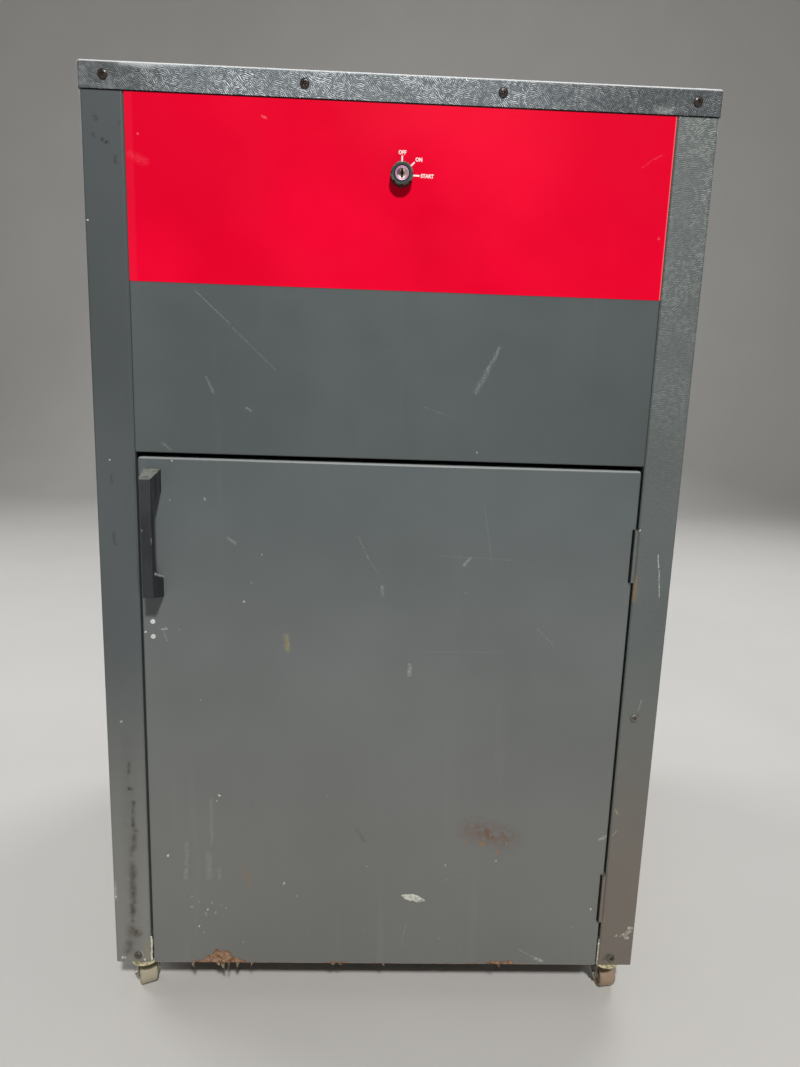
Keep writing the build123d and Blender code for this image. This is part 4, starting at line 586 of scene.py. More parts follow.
def pull_plastic():
    """Dark pull: moulded streaks, a rubbed chalky top, a painted highlight on its left edge and a worn lower
    corner that carries a painted highlight.
    """
    finish = Finish("pull_plastic", 0.45, Specular_IOR_Level=0.45)
    finish.coat(finish.clouds(24.0, 4.0, 0.6), (35, 37, 40), (45, 47, 51))
    streaks = finish.noise(1.0, 2.0, 0.5, at=finish.placed((900, 900, 30)))
    finish.paint(finish.band(streaks, 0.60, 0.75, 0.0, 0.30), (96, 98, 98))
    # painted highlight along the pull's left edge
    left_edge_highlight = finish.along("X", -251.6 * MM, -252.6 * MM, 0.0, 0.55)
    finish.paint(left_edge_highlight, (92, 97, 98))
    ribs = finish.node("ShaderNodeTexWave", {
        "Vector": finish.place, "Scale": BAND_SCALE / 1.5,
    }, wave_type="BANDS", bands_direction="X").outputs["Fac"]
    finish.paint(finish.times(ribs, finish.along("Z", 0.575, 0.600, 0.0, 0.28)), (96, 100, 106))
    patchy = finish.times(finish.band(finish.faces("Z"), 0.5, 0.9),
                          finish.band(finish.noise(95.0, 6.0, 0.75), 0.36, 0.60, 0.35, 1.0))
    finish.paint(finish.times(patchy, finish.along("Z", 0.600, 0.610)), (138, 140, 132))
    finish.draw(PULL_MARKS)
    finish.bump(finish.noise(800.0, 2.0), 0.04)
    return finish.done(finish.clouds(50.0, 3.0, 0.5, 0.40, 0.53))


def galvanised():
    """Zinc-coated sheet: spangle in broad cells, dulled by a fine haze and by grime low down."""
    finish = Finish("zinc_sheet", 0.4, 0.85)
    spangle = finish.node("ShaderNodeTexVoronoi", {"Vector": finish.place, "Scale": 75.0})
    tone = finish.axis("X", spangle.outputs["Color"])
    finish.coat(tone, (156, 158, 156), (198, 199, 196))
    finish.paint(finish.band(finish.noise(14.0, 5.0, 0.6), 0.55, 0.75, 0.0, 0.35), (130, 126, 116))
    specks = finish.band(finish.noise(150.0, 5.0, 0.7), 0.42, 0.56)
    dark_mask = finish.times(specks, finish.along("Z", 0.11, 0.06))
    finish.paint(finish.times(dark_mask, 0.9), (104, 94, 76))
    finish.bump(finish.noise(600.0, 2.0), 0.02)
    return finish.done(finish.band(tone, 0.0, 1.0, 0.34, 0.52))


def moulded(name, shade, roughness=0.5, texture=0.04, scuff=None, scuff_amount=0.0):
    """Moulded plastic or rubber: slight mottling and texture, with scuffs where it faces up."""
    finish = Finish(name, roughness, Specular_IOR_Level=0.45)
    finish.coat(finish.clouds(24.0, 4.0, 0.6), *shades(shade, 5, 5))
    if scuff:
        up = finish.band(finish.faces("Z"), 0.5, 0.9)
        patchy = finish.band(finish.noise(95.0, 6.0, 0.75), 0.34, 0.66)
        finish.paint(finish.times(finish.times(up, patchy), scuff_amount), scuff)
        hairlines = finish.noise(1.0, 2.0, 0.5, at=finish.placed((900, 900, 30)))
        finish.paint(finish.band(hairlines, 0.70, 0.78, 0.0, 0.25), scuff)
    finish.bump(finish.noise(800.0, 2.0), texture)
    return finish.done(finish.clouds(50.0, 3.0, 0.5, roughness - 0.05, roughness + 0.08))


def coated(name, shade, roughness=0.45, chips=0.0):
    """Plain machine enamel: even tone with a little mottling, and bare chips if asked."""
    finish = Finish(name, roughness, Specular_IOR_Level=0.45)
    finish.coat(finish.clouds(16.0, 4.0, 0.6), *shades(shade, 6, 6))
    if chips:
        finish.paint(finish.band(finish.noise(130.0, 5.0, 0.7), 0.66, 0.69, 0.0, chips), (150, 148, 142))
    finish.bump(finish.noise(300.0, 2.0), 0.03)
    return finish.done(finish.clouds(30.0, 3.0, 0.5, roughness - 0.05, roughness + 0.08))


def blotched(name, dull, bright, roughness=0.6, noise=(300.0, 3.0), limits=(0.36, 0.56)):
    """Dried paint, rust or ink: blotches of a dull and a bright tone, parted between two limits
    of a noise."""
    finish = Finish(name, roughness)
    finish.coat(finish.band(finish.noise(*noise), *limits), dull, bright)
    return finish.done()


# Finish of each material slot
finishes = {
    "grained_cover": grained_enamel(
        "grain_cover", (93, 103, 109), (232, 241, 247), 1.05, painted_shade_left=0.88, painted_shade_right=0.84, relief=0.17,
        worn=(((-264, 1009.5), (-200, 1010.5), 7.0),),
        marks=(((243, 988.5), (257, 988.5), 6.0, 0.5, CHALK, 2.5),),
        spacing=1.6, swirl=(6.5, 1.05), dashes=370.0, hollow_shade_share=0.64,
    ),
    "door_paint": smooth_enamel("grey_enamel", (98, 104, 105), DOOR_MARKS, DOOR_RUST),
    "label_red": label_red(),
    "galvanised": galvanised(),
    "screw_black": coated("black_screw", (54, 46, 42), 0.26),
    "flange_screw": plated("flange_screw", (150, 146, 138), 0.5, 40, 260.0, 0.8, (84, 74, 62)),
    "zinc": plated("bright_zinc", (176, 174, 164), 0.34, 22, 60.0, 0.6, (150, 132, 96)),
    "grommet_rubber": moulded("grommet_rubber", (34, 34, 34), 0.6),
    "handle_plastic": pull_plastic(),
    "rivet_steel": coated("rivet_steel", (206, 209, 205), 0.35),
    "switch_plastic": moulded("switch_plastic", (36, 36, 38), 0.45),
    "plunger_plastic": moulded("white_plastic", (206, 202, 190), 0.4),
    "hinge_steel": hinge_enamel(),
    "bezel_black": bezel_plastic(),
    "key_chrome": lock_metal(),
    "bin_paint": coated("bin_enamel", (138, 141, 142), 0.45, 0.8),
    "frame_paint": coated("frame_enamel", (96, 99, 102), 0.5, 0.7),
    "bearing_iron": plated("bearing_iron", (104, 102, 100), 0.6, 20, 200.0, 0.8),
    "screw_steel": turned("screw_steel", (168, 166, 160)),
    "pulley_aluminium": turned("turned_aluminium", (196, 197, 198)),
    "belt_rubber": moulded("belt_rubber", (32, 32, 33), 0.62, 0.08),
    "gearbox_aluminium": plated("cast_aluminium", (168, 170, 172), 0.5, 14, 120.0, 0.5),
    "motor_paint": coated("motor_enamel", (58, 60, 64), 0.4, 0.4),
    "capacitor_aluminium": plated("can_aluminium", (190, 191, 192), 0.3, 10, 40.0, 0.4),
    "nut_bronze": turned("nut_bronze", (186, 142, 84)),
    "wheel_nylon": moulded("beige_nylon", (168, 160, 136), 0.5, 0.05, (104, 92, 72), 0.6),
}

# Nodes with a finish of their own
UPPER_PANEL = smooth_enamel("panel_enamel", (86, 91, 92), PANEL_MARKS, painted_shade_right=0.35)
LEFT_SIDE = grained_enamel(
    "grain_left", (80, 86, 88), (106, 112, 114), 0.10, relief=0.02, marks=LEFT_MARKS, flange=True,
    dust_and_bounce_shade=(129, 129, 124), dust_and_bounce_share=0.9, hollow_shade_share=0.05, painted_shade_top=0.45,
)
RIGHT_SIDE = grained_enamel(
    "grain_right", (95, 102, 101), (178, 186, 182), 0.75, (0.50, 0.95), relief=0.10, marks=RIGHT_MARKS,
    flange=True, dust_and_bounce_shade=(124, 108, 94), dust_and_bounce_share=0.6, slants=(-32, -6), hollow_shade_share=0.25,
    painted_shade_top=0.12,
)
OWN_FINISH = {
    "left_side_panel": LEFT_SIDE, "right_side_panel": RIGHT_SIDE, "front_upper_panel": UPPER_PANEL,
}

# Finishes of pieces that have no node of their own, and of one wheel that is browner and darker with painted shade
BROWNER_SHADED_NYLON = moulded("browner_shaded_nylon", (148, 128, 106), 0.5, 0.05, (92, 76, 60), 0.6)
DRIED_PAINT = blotched("dried_paint", (148, 150, 142), (204, 205, 195))
FADED_PAINT = blotched("faded_paint", (114, 117, 113), (146, 149, 144))
FADED_SPLASH = blotched("flange_faded_paint", (140, 134, 122), (172, 168, 156))
OLD_PAINT = blotched("gap_paint", (160, 158, 142), (214, 211, 196))
CREAM_PAINT = blotched("race_paint", (138, 128, 96), (208, 200, 164))
RUST_SCALE = blotched("rust_flake", (76, 60, 46), (150, 132, 112), 0.9, (330.0, 4.0), (0.38, 0.58))
WHITE_INK = blotched("white_ink", (238, 222, 220), (255, 250, 248), 0.5, (900.0, 3.0), (0.35, 0.6))

for part in frame["record"]["subparts"]:
    for place in frame["nodes"][part["node"]].material_slots:
        place.link = "OBJECT"
        place.material = OWN_FINISH.get(part["node"]) or finishes[part["material_slot"]]


# Pieces

def points(x, y, z):
    """Grid of points from its three coordinates, each spread over the rows and columns."""
    return np.stack(np.broadcast_arrays(x, y, z), axis=-1)


def around(columns):
    """One turn in equal steps, as a row of angles."""
    return np.linspace(0, 2 * pi, columns, endpoint=False)[None, :]


def put_in_scene(name, data, material=None):
    """Object at the origin, unturned, with its material if it has one."""
    made = bpy.data.objects.new(name, data)
    bpy.context.scene.collection.objects.link(made)
    if material:
        data.materials.append(material)
    return made


def piece(name, grids, body, slot, material=None, nodes=(), sharp=40):
    """Mesh of one or more grids of points, each (rows, columns, 3) and closed along its columns.

    Neighbours on a grid are joined by four-cornered faces; repeated points are merged and the
    faces turned outwards. The piece rides on a body, has its slot's finish unless it has a
    material of its own, and takes the place of the CAD nodes that are named.
    """
    corners, faces, count = [], [], 0
    for grid in grids:
        rows, columns = grid.shape[:2]
        index = count + np.arange(rows * columns).reshape(rows, columns)
        index = np.concatenate([index, index[:, :1]], axis=1)
        quads = np.stack([index[:-1, :-1], index[:-1, 1:], index[1:, 1:], index[1:, :-1]], axis=-1)
        faces.append(quads.reshape(-1, 4))
        corners.append(grid.reshape(-1, 3))
        count += rows * columns
    mesh = bpy.data.meshes.new(name)
    mesh.from_pydata(np.concatenate(corners).tolist(), [], np.concatenate(faces).tolist())
    work = bmesh.new()
    work.from_mesh(mesh)
    bmesh.ops.remove_doubles(work, verts=work.verts, dist=1e-6)
    bmesh.ops.recalc_face_normals(work, faces=work.faces)
    work.to_mesh(mesh)
    work.free()
    mesh.shade_smooth()
    mesh.set_sharp_from_angle(angle=radians(sharp))
    made = put_in_scene(name, mesh, material or finishes[slot])
    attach(made, body)
    if nodes:
        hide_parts(*nodes)


def revolved(profile, columns):
    """Profile of (radius, along) pairs carried round an axis: angle a gives (r cos a, r sin a, along)."""
    radius, along = np.array(profile).T[:, :, None]
    angle = around(columns)
    return points(radius * np.cos(angle), radius * np.sin(angle), along)


def on_front(shape, x, y, z):
    """Turns a shape's own height axis to face the front and moves it to a place."""
    return points(shape[..., 0] + x, y - shape[..., 2], shape[..., 1] + z)


def on_back(shape, x, y, z):
    """Turns a shape's own height axis to face the back and moves it to a place."""
    return points(x - shape[..., 0], y + shape[..., 2], shape[..., 1] + z)


def turned_by(shape, degrees):
    """Turns a shape about its own height axis."""
    c, s = cos(radians(degrees)), sin(radians(degrees))
    x, y, z = shape[..., 0], shape[..., 1], shape[..., 2]
    return points(c * x - s * y, s * x + c * y, z)


def pan_head(radius, height, columns=40):
    """Domed screw head with a cross recess.

    The dome is height * (1 - 0.45 s^2.6) at a share s of the radius. The recess sinks by
    0.62 of the height where the distance to either arm of the cross is under its half-width,
    and fades out towards the arms' ends.
    """
    share = np.concatenate([np.linspace(0, 0.94, 15), [0.985, 1.0, 1.0, 0.0]])[:, None]
    angle = around(columns)
    dome = height * (1 - 0.45 * share ** 2.6)
    across = share * np.cos(angle)
    along = share * np.sin(angle)
    narrow = np.minimum(np.abs(across), np.abs(along))
    wide = np.maximum(np.abs(across), np.abs(along))
    arm = np.clip((0.15 - narrow) / 0.06, 0, 1) * np.clip((0.56 - wide) / 0.16, 0, 1)
    top = dome - 0.62 * height * arm
    top[-2:] = 0
    return points(radius * across, radius * along, top)


SCREW_HEAD = pan_head(4.5 * MM, 2.2 * MM)

# Places of screws, in millimetres: x along the cover's skirt and how far they lie under its top,
# (x, z) in the front flanges, and x in the rear flanges and the distance from their ends
COVER_SCREWS = (-282, -94, 94, 282)
SKIRT_SCREW_DROP = 12.5
FRONT_SCREWS = ((-279.5, 55), (279.5, 55), (279.5, 363))
REAR_SCREW_X = 292.5
REAR_SCREW_GAP = 60

# Each head is stopped at an angle of its own
cover_low, cover_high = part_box("top_cover")
panel_low, panel_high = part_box("left_side_panel")
skirt_row = cover_high[2] - SKIRT_SCREW_DROP * MM
cover_heads = []
for n, x in enumerate(COVER_SCREWS):
    head = turned_by(SCREW_HEAD, 17 + 31 * n)
    cover_heads.append(on_front(head, x * MM, cover_low[1], skirt_row))
    cover_heads.append(on_back(head, x * MM, cover_high[1], skirt_row))
piece("cover_screw_heads", cover_heads, "cabinet", "screw_black", nodes=["cover_screws"])

panel_heads = [
    on_front(turned_by(SCREW_HEAD, 12 + 40 * n), x * MM, FRONT, z * MM)
    for n, (x, z) in enumerate(FRONT_SCREWS)
]
rear_heights = np.linspace(panel_low[2] + REAR_SCREW_GAP * MM, cover_low[2] - REAR_SCREW_GAP * MM, 4)
panel_heads += [
    on_back(turned_by(SCREW_HEAD, 25 * n), side * REAR_SCREW_X * MM, panel_high[1], z)
    for side in (-1, 1)
    for n, z in enumerate(rear_heights)
]
piece(
    "panel_screw_heads", panel_heads, "cabinet", "screw_black", finishes["flange_screw"], ["panel_screws"],
)


def threaded_rod(node, columns=28):
    """Power screw: at height z and angle a the radius is root + depth * wave(z / lead - a / turn),
    where wave is a trapezoid, and the journals at both ends are plain."""
    low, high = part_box(node)
    x, y = (low[0] + high[0]) / 2, (low[1] + high[1]) / 2
    lead, root, crest, journal = 8 * MM, 7.6 * MM, 10 * MM, 8 * MM
    start, end = low[2] + 11 * MM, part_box("drive_deck")[0][2] + 1 * MM
    heights = np.linspace(start, end, int((end - start) / lead * 7))[:, None]
    angle = around(columns)
    phase = (heights / lead - angle / (2 * pi)) % 1.0
    wave = np.clip(2.2 - 6.4 * np.abs(phase - 0.5), 0, 1)
    ease = np.clip(np.minimum(heights - start, end - heights) / (4 * MM), 0, 1)
    radius = root + (crest - root) * wave * ease
    thread = points(radius * np.cos(angle), radius * np.sin(angle), heights)
    lower = [(0, low[2]), (journal - MM, low[2]), (journal, low[2] + MM), (journal, start)]
    upper = [(journal, end), (journal, high[2] - MM), (journal - MM, high[2]), (0, high[2])]
    return np.concatenate([revolved(lower, columns), thread, revolved(upper, columns)]) + [x, y, 0]


for side in ("left", "right"):
    node = side + "_power_screw"
    piece(side + "_thread", [threaded_rod(node)], side + "_screw", "screw_steel", nodes=[node], sharp=30)


def wheel(node, axle):
    """Nylon wheel: a profile with a rounded tread, a recessed web and a hub, carried round the axle."""
    low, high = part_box(node)
    centre = np.array([(low[i] + high[i]) / 2 for i in range(3)])
    half = [
        (3.1, 0.0), (3.1, 10.0), (5.4, 10.0), (6.2, 8.2), (10.2, 7.8), (11.4, 9.4),
        (12.6, 10.0), (13.9, 9.5), (14.7, 8.6), (15.0, 7.2), (15.0, 0.0),
    ]
    profile = half + [(r, -a) for r, a in half[::-1][1:]]
    ring = revolved(np.array(profile) * MM, 56)
    along, side, up = ring[..., 2], ring[..., 0], ring[..., 1]
    return points(axle[0] * along - axle[1] * side, axle[1] * along + axle[0] * side, up) + centre


for corner in ("front_left", "front_right", "rear_left", "rear_right"):
    node = corner + "_wheel"
    # the front right wheel is browner and darker with painted shade
    piece(node + "_tread", [wheel(node, JOINTS[node + "_spin"]["axis"])], corner + "_roller", "wheel_nylon",
          BROWNER_SHADED_NYLON if corner == "front_right" else None, [node])


def louver_hood(x, z):
    """Pressed hood over a slot, 92 mm wide and 10 mm high: at a share u of its half-width and v
    down it stands out by 4.4 mm * (1 - u^6) * sin(v * turn / 4). The inner skin stands out by
    3.5 mm instead."""
    across = np.linspace(-1, 1, 15)[None, :]
    down = np.linspace(0, 1, 7)[:, None]
    out = (1 - np.abs(across) ** 6) * np.sin(down * pi / 2)
    place_x = x + 46 * MM * across
    place_z = z + (5.5 - 10.0 * down) * MM
    outer = points(place_x, BACK + 4.4 * MM * out, place_z)
    inner = points(place_x, BACK - 0.2 * MM + 3.5 * MM * out, place_z - 0.5 * MM)
    return np.concatenate([outer, inner[:, ::-1]], axis=1)


# Louvers of the rear panel, in millimetres: groups side by side and above each other, rows in a group
LOUVER_COLUMNS = (-140, 0, 140)
LOUVER_MIDDLES = (346, 926)
LOUVER_ROWS = 16 * np.arange(-3, 4)
hoods = [
    louver_hood(column * MM, (middle + row) * MM)
    for column in LOUVER_COLUMNS
    for middle in LOUVER_MIDDLES
    for row in LOUVER_ROWS
]
piece("louver_hoods", hoods, "cabinet", "galvanised")


def key_plug_face(radius=7.0, columns=96):
    """Face of the lock plug. At a share s of its radius it has a flat rim, a groove at s = 0.70,
    a dished middle that sinks by 0.9 mm * (1 - s / 0.66), and a lens-shaped slot 4 mm deep
    where |across| < 0.29 * (1 - (along / 0.66)^2). Its edge goes back 0.5 mm and then 6 mm."""
    share = np.concatenate([np.linspace(0, 0.62, 26), [0.66, 0.70, 0.74, 0.94, 1.0, 1.0]])[:, None]
    angle = around(columns)
    across, along = share * np.cos(angle), share * np.sin(angle)
    dish = -0.9 * np.clip(1 - share / 0.66, 0, 1) - 0.35 * np.exp(-(((share - 0.70) / 0.03) ** 2))
    lens = 0.29 * (1 - (along / 0.66) ** 2)
    slot = -4.0 * np.clip((lens - np.abs(across)) / 0.04, 0, 1)
    height = dish + slot
    height[-2] -= 0.5
    height[-1] = -6.0
    face = points(radius * across, radius * along, height)
    back = face[-1:] * [0, 0, 1]
    return np.concatenate([face, back]) * MM


plug = on_front(key_plug_face(), KEY_X, LOCK_FACE - 0.1 * MM, KEY_Z)
piece("key_plug", [plug], "key", "key_chrome", sharp=28)


chance = np.random.default_rng(7)


def splash(x, z, reach, stretch=1.0):
    """Dried paint spot on the front: a low dome whose outline at angle a is reach * (1
    + 0.28 sin(2a + p) + 0.20 sin(3a + q) + 0.12 sin(7a + r)), with p, q and r drawn by chance."""
    share = np.array([0.0, 0.98, 1.0, 0.86, 0.5, 0.0])[:, None]
    height = np.array([-0.05, -0.05, 0.04, 0.12, 0.16, 0.17])[:, None]
    angle = around(28)
    p, q, r = chance.uniform(0, 2 * pi, 3)
    outline = 1 + 0.28 * np.sin(2 * angle + p) + 0.20 * np.sin(3 * angle + q) + 0.12 * np.sin(7 * angle + r)
    across = reach * stretch * share * outline * np.cos(angle)
    along = reach * share * outline * np.sin(angle)
    return on_front(points(across, along, height) * MM, x * MM, FRONT, z * MM)


def smear(x, z, length, width, tilt):
    """Dried smear with pointed ends: at angle a its outline is length * cos a along and
    width * sin a * |sin a|^0.7 across, a little uneven, tilted by so many degrees."""
    share = np.array([0.0, 0.98, 1.0, 0.86, 0.5, 0.0])[:, None]
    height = np.array([-0.05, -0.05, 0.04, 0.14, 0.2, 0.24])[:, None]
    angle = around(48)
    wave = 1 + 0.10 * np.sin(5 * angle) + 0.06 * np.sin(11 * angle + 1)
    along = length * share * np.cos(angle)
    across = width * share * wave * np.sin(angle) * np.abs(np.sin(angle)) ** 0.7
    return on_front(turned_by(points(along, across, height) * MM, tilt), x * MM, FRONT, z * MM)


def gap_bead(x, low, high, half_width):
    """Old paint caught in a gap: a flattened bead from one height to another whose half-width and
    middle wander by chance and shrink to nothing at both ends."""
    share = np.linspace(0, 1, 25)[:, None]
    knots = np.linspace(0, 1, 9)
    wide = half_width * np.interp(share, knots, chance.uniform(0.35, 1.0, 9)) * np.sin(pi * share) ** 0.25
    wide[[0, -1]] = 0
    middle = x + np.interp(share, knots, chance.uniform(-0.2, 0.2, 9))
    angle = around(12)
    deep = FRONT / MM + 0.7 - 1.0 * (wide / half_width) * np.sin(angle)
    return points(middle + wide * np.cos(angle), deep, low + (high - low) * share) * MM


# Spots of dried paint on the door and the flanges, in millimetres: x, z, reach
BRIGHT_SPOTS = [
    (-208, 94, 1.0), (-110, 151, 1.5), (-183, 261, 1.2), (-186, 254, 0.9), (-242, 185, 1.2), (-259, 452, 1.3),
    (-227, 637, 1.0), (-154, 488, 1.1), (134, 183, 1.4), (-198, 116, 1.1), (-95, 135, 0.8), (250, 121, 1.1),
    (-135, 540, 0.8),
]
FADED_SPOTS = [
    (-216, 133, 1.4), (-216, 119, 1.7), (-200, 110, 2.2), (-182, 122, 1.4), (-177, 118, 1.0),
    (-193, 125, 1.2), (-203, 86, 1.2), (-157, 73, 1.3), (-194, 598, 1.4), (-230, 596, 1.2),
    (-146, 509, 1.0), (-215, 279, 0.8), (-202, 375, 0.9), (83, 504, 0.8), (78, 158, 0.9), (30, 88, 0.8),
    (-62, 262, 0.8), (98, 66, 0.9), (-15, 174, 1.0), (146, 224, 0.9), (145, 206, 0.9), (-221, 168, 1.2),
    (72, 80, 0.9), (230, 97, 1.2), (-189, 112, 1.4), (-208, 126, 1.0),
]
FLANGE_SPOTS = [
    (-290, 636, 0.8), (-289, 348, 1.3), (-298, 51.4, 1.3), (-295.4, 51.4, 1.3), (-302, 868, 0.9),
    (-303, 142, 1.1), (-303, 131, 1.3), (-272, 49, 1.5), (265.6, 577, 1.1),
]
RIGHT_SPLASH = [
    (294.5, 85.6, 3.6), (297.5, 90.5, 3.1), (299, 96, 2.6), (283.5, 85.6, 1.4), (288, 85.4, 1.0),
    (297.8, 82.4, 1.7),
]

# Beads of old paint in the door's side gaps, in millimetres: x, low end, high end, half-width
GAP_BEADS = [
    (-263.9, 46.4, 80, 1.6), (-263.9, 68, 80, 1.8), (-264.2, 46.4, 60, 1.9),
    (263.6, 46.4, 77, 1.35), (263.6, 66, 77, 1.4),
]

spots = [splash(x, z, reach, chance.uniform(0.7, 1.3)) for x, z, reach in BRIGHT_SPOTS]
spots.append(smear(40, 133.5, length=14.5, width=4.6, tilt=-14))
piece("door_paint_spots", spots, "door", "door_paint", DRIED_PAINT)
faded_spots = [splash(x, z, reach, chance.uniform(0.45, 1.0)) for x, z, reach in FADED_SPOTS]
piece("door_faded_spots", faded_spots, "door", "door_paint", FADED_PAINT)
for name, places, material in (
    ("flange_paint_spots", FLANGE_SPOTS, DRIED_PAINT), ("flange_faded_spots", RIGHT_SPLASH, FADED_SPLASH),
):
    piece(name, [splash(x, z, reach) for x, z, reach in places], "cabinet", "grained_panel", material)
beads = [gap_bead(*bead) for bead in GAP_BEADS]
piece("gap_paint", beads, "cabinet", "grained_panel", OLD_PAINT)


def race_cup(x, y):
    """Cream race cup of a caster, seen under the flange: a flat disc 16.4 mm in radius whose rim
    is rounded, as a profile carried round its upright axis."""
    profile = [(0, 43.7), (14.6, 43.7), (16.0, 43.9), (16.4, 44.7), (16.0, 45.6), (14.8, 45.9), (0, 45.9)]
    return (revolved(profile, 64) + [x, y, 0]) * MM


# Middles of the two race cups, in millimetres
RACE_CUPS = ((-274.5, -280.6), (277.0, -280.6))
piece("caster_race_cups", [race_cup(x, y) for x, y in RACE_CUPS], "cabinet", "zinc", CREAM_PAINT)


def flake(x, top, reach, width, droop, curl):
    """Peeling chip under the door's edge: at a share t it hangs by droop * t and swings out by
    curl * t^2, and its width tapers as 1 - 0.8 t; the two skins are 0.35 mm apart."""
    t = np.linspace(0, 1, 7)[:, None]
    across = np.linspace(-0.5, 0.5, 4)[None, :]
    place_x = x + width * across * (1 - 0.8 * t) + reach * t ** 2
    place_y = FRONT / MM + 1.6 - curl * t ** 2 + 0.5 * np.sin(9 * across + 5 * t)
    place_z = top - droop * t + 0.6 * np.cos(7 * across)
    outer = points(place_x, place_y, place_z)
    inner = outer + [0, 0.35, 0]
    return np.concatenate([outer, inner[:, ::-1]], axis=1) * MM


# Rust flakes, in millimetres: where they hang from, and each one's x and share of the full length
FLAKE_TOP = 45.2
FLAKES = (
    (-215, 0.6), (-190, 0.6), (-180, 1.1), (-174, 1.3), (-164, 0.9), (-150, 0.4), (-50, 0.4),
    (-42, 0.5), (8, 0.4), (88, 0.4), (146, 0.7),
)
flakes = [
    flake(x + chance.uniform(-3, 3), FLAKE_TOP, chance.uniform(-4, 4), chance.uniform(2, 6),
          chance.uniform(3, 11) * size, chance.uniform(-1, 3))
    for x, size in FLAKES
]
piece("rust_flakes", flakes, "door", "door_paint", RUST_SCALE)


# Legend, in millimetres: height of its capitals, width of its lines and how far it sinks in
CAP_HEIGHT = 3.5
STROKE = 1.5
INK_DEPTH = 0.06


def on_label(flat):
    """Puts flat (x, z) places, in metres from the middle of the key switch, on the label's face."""
    return points(KEY_X + flat[:, 0], LABEL_FACE - INK_DEPTH * MM, KEY_Z + flat[:, 1])


def legend_word(text, x, z, align):
    """Flat lettering as triangles: the font's outline filled, made narrower by 0.84."""
    outline = bpy.data.curves.new("word", "FONT")
    outline.body = text
    outline.size = CAP_HEIGHT * MM / 0.72
    outline.offset = 0.038 * outline.size
    outline.space_character = 1.06
    outline.align_x = align
    outline.resolution_u = 3
    holder = bpy.data.objects.new("word", outline)
    mesh = bpy.data.meshes.new_from_object(holder)
    flat = np.empty(len(mesh.vertices) * 3)
    mesh.vertices.foreach_get("co", flat)
    polygons = [list(p.vertices) for p in mesh.polygons]
    bpy.data.objects.remove(holder)
    bpy.data.meshes.remove(mesh)
    bpy.data.curves.remove(outline)
    return on_label(flat.reshape(-1, 3)[:, :2] * [0.84, 1] + [x * MM, z * MM]), polygons


def legend_line(start, end):
    """Flat bar between two points: their offsets by half the stroke on either side."""
    a, b = np.array(start), np.array(end)
    side = (b - a)[::-1] * [-1, 1] / np.linalg.norm(b - a) * STROKE / 2
    return on_label(np.array([a - side, b - side, b + side, a + side]) * MM), [[0, 1, 2, 3]]


def switch_legend():
    """One mesh of the words and lines, all facing the front. Their places are in millimetres
    from the middle of the key switch."""
    shapes = [
        legend_word("OFF", 0, 19.4, "CENTER"),
        legend_word("ON", 12.8, 13.4, "LEFT"),
        legend_word("START", 18.4, -1.2, "LEFT"),
        legend_line((0, 11.4), (0, 18.2)),
        legend_line((7.6, 8.0), (12.0, 12.6)),
        legend_line((11.2, 0.5), (17.2, 0.5)),
    ]
    corners, faces, used = [], [], 0
    for flat, polygons in shapes:
        corners.append(flat)
        faces += [[i + used for i in polygon] for polygon in polygons]
        used += len(flat)
    mesh = bpy.data.meshes.new("legend")
    mesh.from_pydata(np.concatenate(corners).tolist(), [], faces)
    work = bmesh.new()
    work.from_mesh(mesh)
    for face in work.faces:
        face.normal_update()
        if face.normal.y > 0:
            face.normal_flip()
    work.to_mesh(mesh)
    work.free()
    return mesh


legend = put_in_scene("switch_legend", switch_legend(), WHITE_INK)
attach(legend, "cabinet")


# Stage, light and camera

def backdrop():
    """Pale sweep: flat floor that turns up into a wall along a quarter circle."""
    front, bend, wall_height, half_width, radius = -5.0, 3.2, 6.0, 7.0, 1.2
    turn = np.linspace(0, pi / 2, 13)
    curve = np.stack([bend + radius * np.sin(turn), radius - radius * np.cos(turn)], axis=-1)
    profile = np.concatenate([[[front, 0.0]], curve, [[bend + radius, wall_height]]])
    grid = points(np.array([-half_width, half_width]), profile[:, :1], profile[:, 1:])
    index = np.arange(len(profile) * 2).reshape(-1, 2)
    faces = np.stack([index[:-1, 0], index[:-1, 1], index[1:, 1], index[1:, 0]], axis=-1)
    mesh = bpy.data.meshes.new("sweep")
    mesh.from_pydata(grid.reshape(-1, 3).tolist(), [], faces.tolist())
    mesh.shade_smooth()
    pale = Finish("pale_sweep", 0.85)
    pale.coat(pale.noise(3.0, 3.0), (196, 194, 191), (204, 202, 199))
    put_in_scene("sweep", mesh, pale.done())


backdrop()

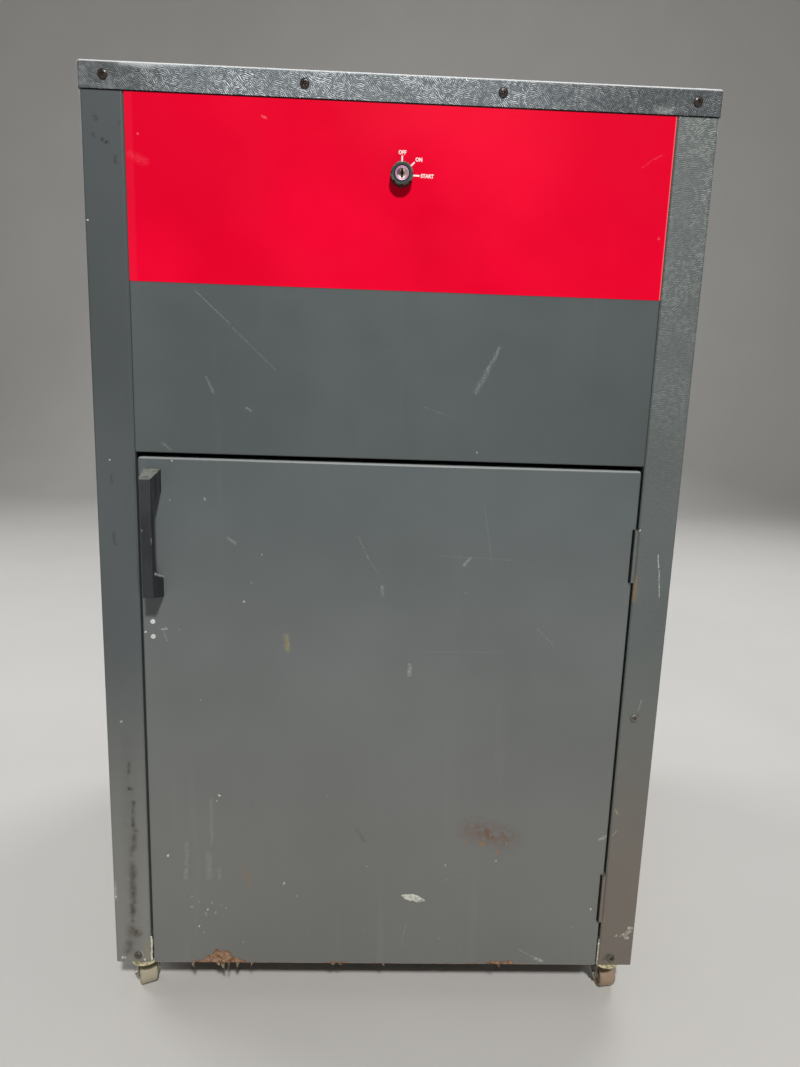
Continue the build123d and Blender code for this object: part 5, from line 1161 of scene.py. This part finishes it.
scene = bpy.context.scene
scene.view_settings.view_transform = "Standard"
world = bpy.data.worlds.new("studio")
scene.world = world
world.use_nodes = True
sky = world.node_tree.nodes["Background"].inputs
sky["Color"].default_value = (0.92, 0.96, 1.0, 1.0)
sky["Strength"].default_value = 0.08


def lamp(name, place, target, size, power, color=(1.0, 1.0, 1.0)):
    """Square soft lamp at a place, turned to face the target. Its sides are in metres and its
    power in watts."""
    data = bpy.data.lights.new(name, "AREA")
    data.shape = "SQUARE"
    data.size = size
    data.energy = power
    data.color = color
    away = np.array(place) - np.array(target)
    away = away / np.linalg.norm(away)
    right = np.cross([0, 0, 1], away)
    right = right / np.linalg.norm(right)
    up = np.cross(away, right)
    turn = Matrix(np.stack([right, up, away], axis=1).tolist()).to_4x4()
    put_in_scene(name, data).matrix_world = Matrix.Translation(place) @ turn


lamp("key_lamp", (0.36, -3.29, 3.45), (0.0, -0.29, 0.7), size=0.34, power=158.0, color=(1.0, 0.985, 0.96))
lamp("ceiling_lamp", (0.1, 0.25, 3.2), (0.0, 0.2, 0.9), size=1.4, power=16.0)
lamp("back_lamp", (1.8, 2.2, 2.4), (0.0, 0.0, 0.6), size=1.6, power=44.0)
lamp("side_lamp", (-2.6, 1.2, 2.2), (0.0, 0.1, 0.6), size=1.6, power=40.0)

# The camera stands before the cabinet, a little above its door, and looks down by 12 degrees: its
# place in metres, its turns about x, y and z in degrees, and its focal length against the height
# of the frame, both in pixels
CAMERA_PLACE = (-0.02118, -1.12063, 0.73746)
CAMERA_TURNS = (78.3782, -1.9110, -1.7726)
FOCAL_LENGTH, FRAME_HEIGHT = 802.0, 1067.0
SENSOR = 36.0

camera_data = bpy.data.cameras.new("camera")
camera_data.sensor_fit = "VERTICAL"
camera_data.sensor_height = SENSOR
camera_data.lens = SENSOR * FOCAL_LENGTH / FRAME_HEIGHT
camera = put_in_scene("camera", camera_data)
aim = Euler([radians(a) for a in CAMERA_TURNS]).to_matrix().to_4x4()
camera.matrix_world = Matrix.Translation(CAMERA_PLACE) @ aim
scene.camera = camera
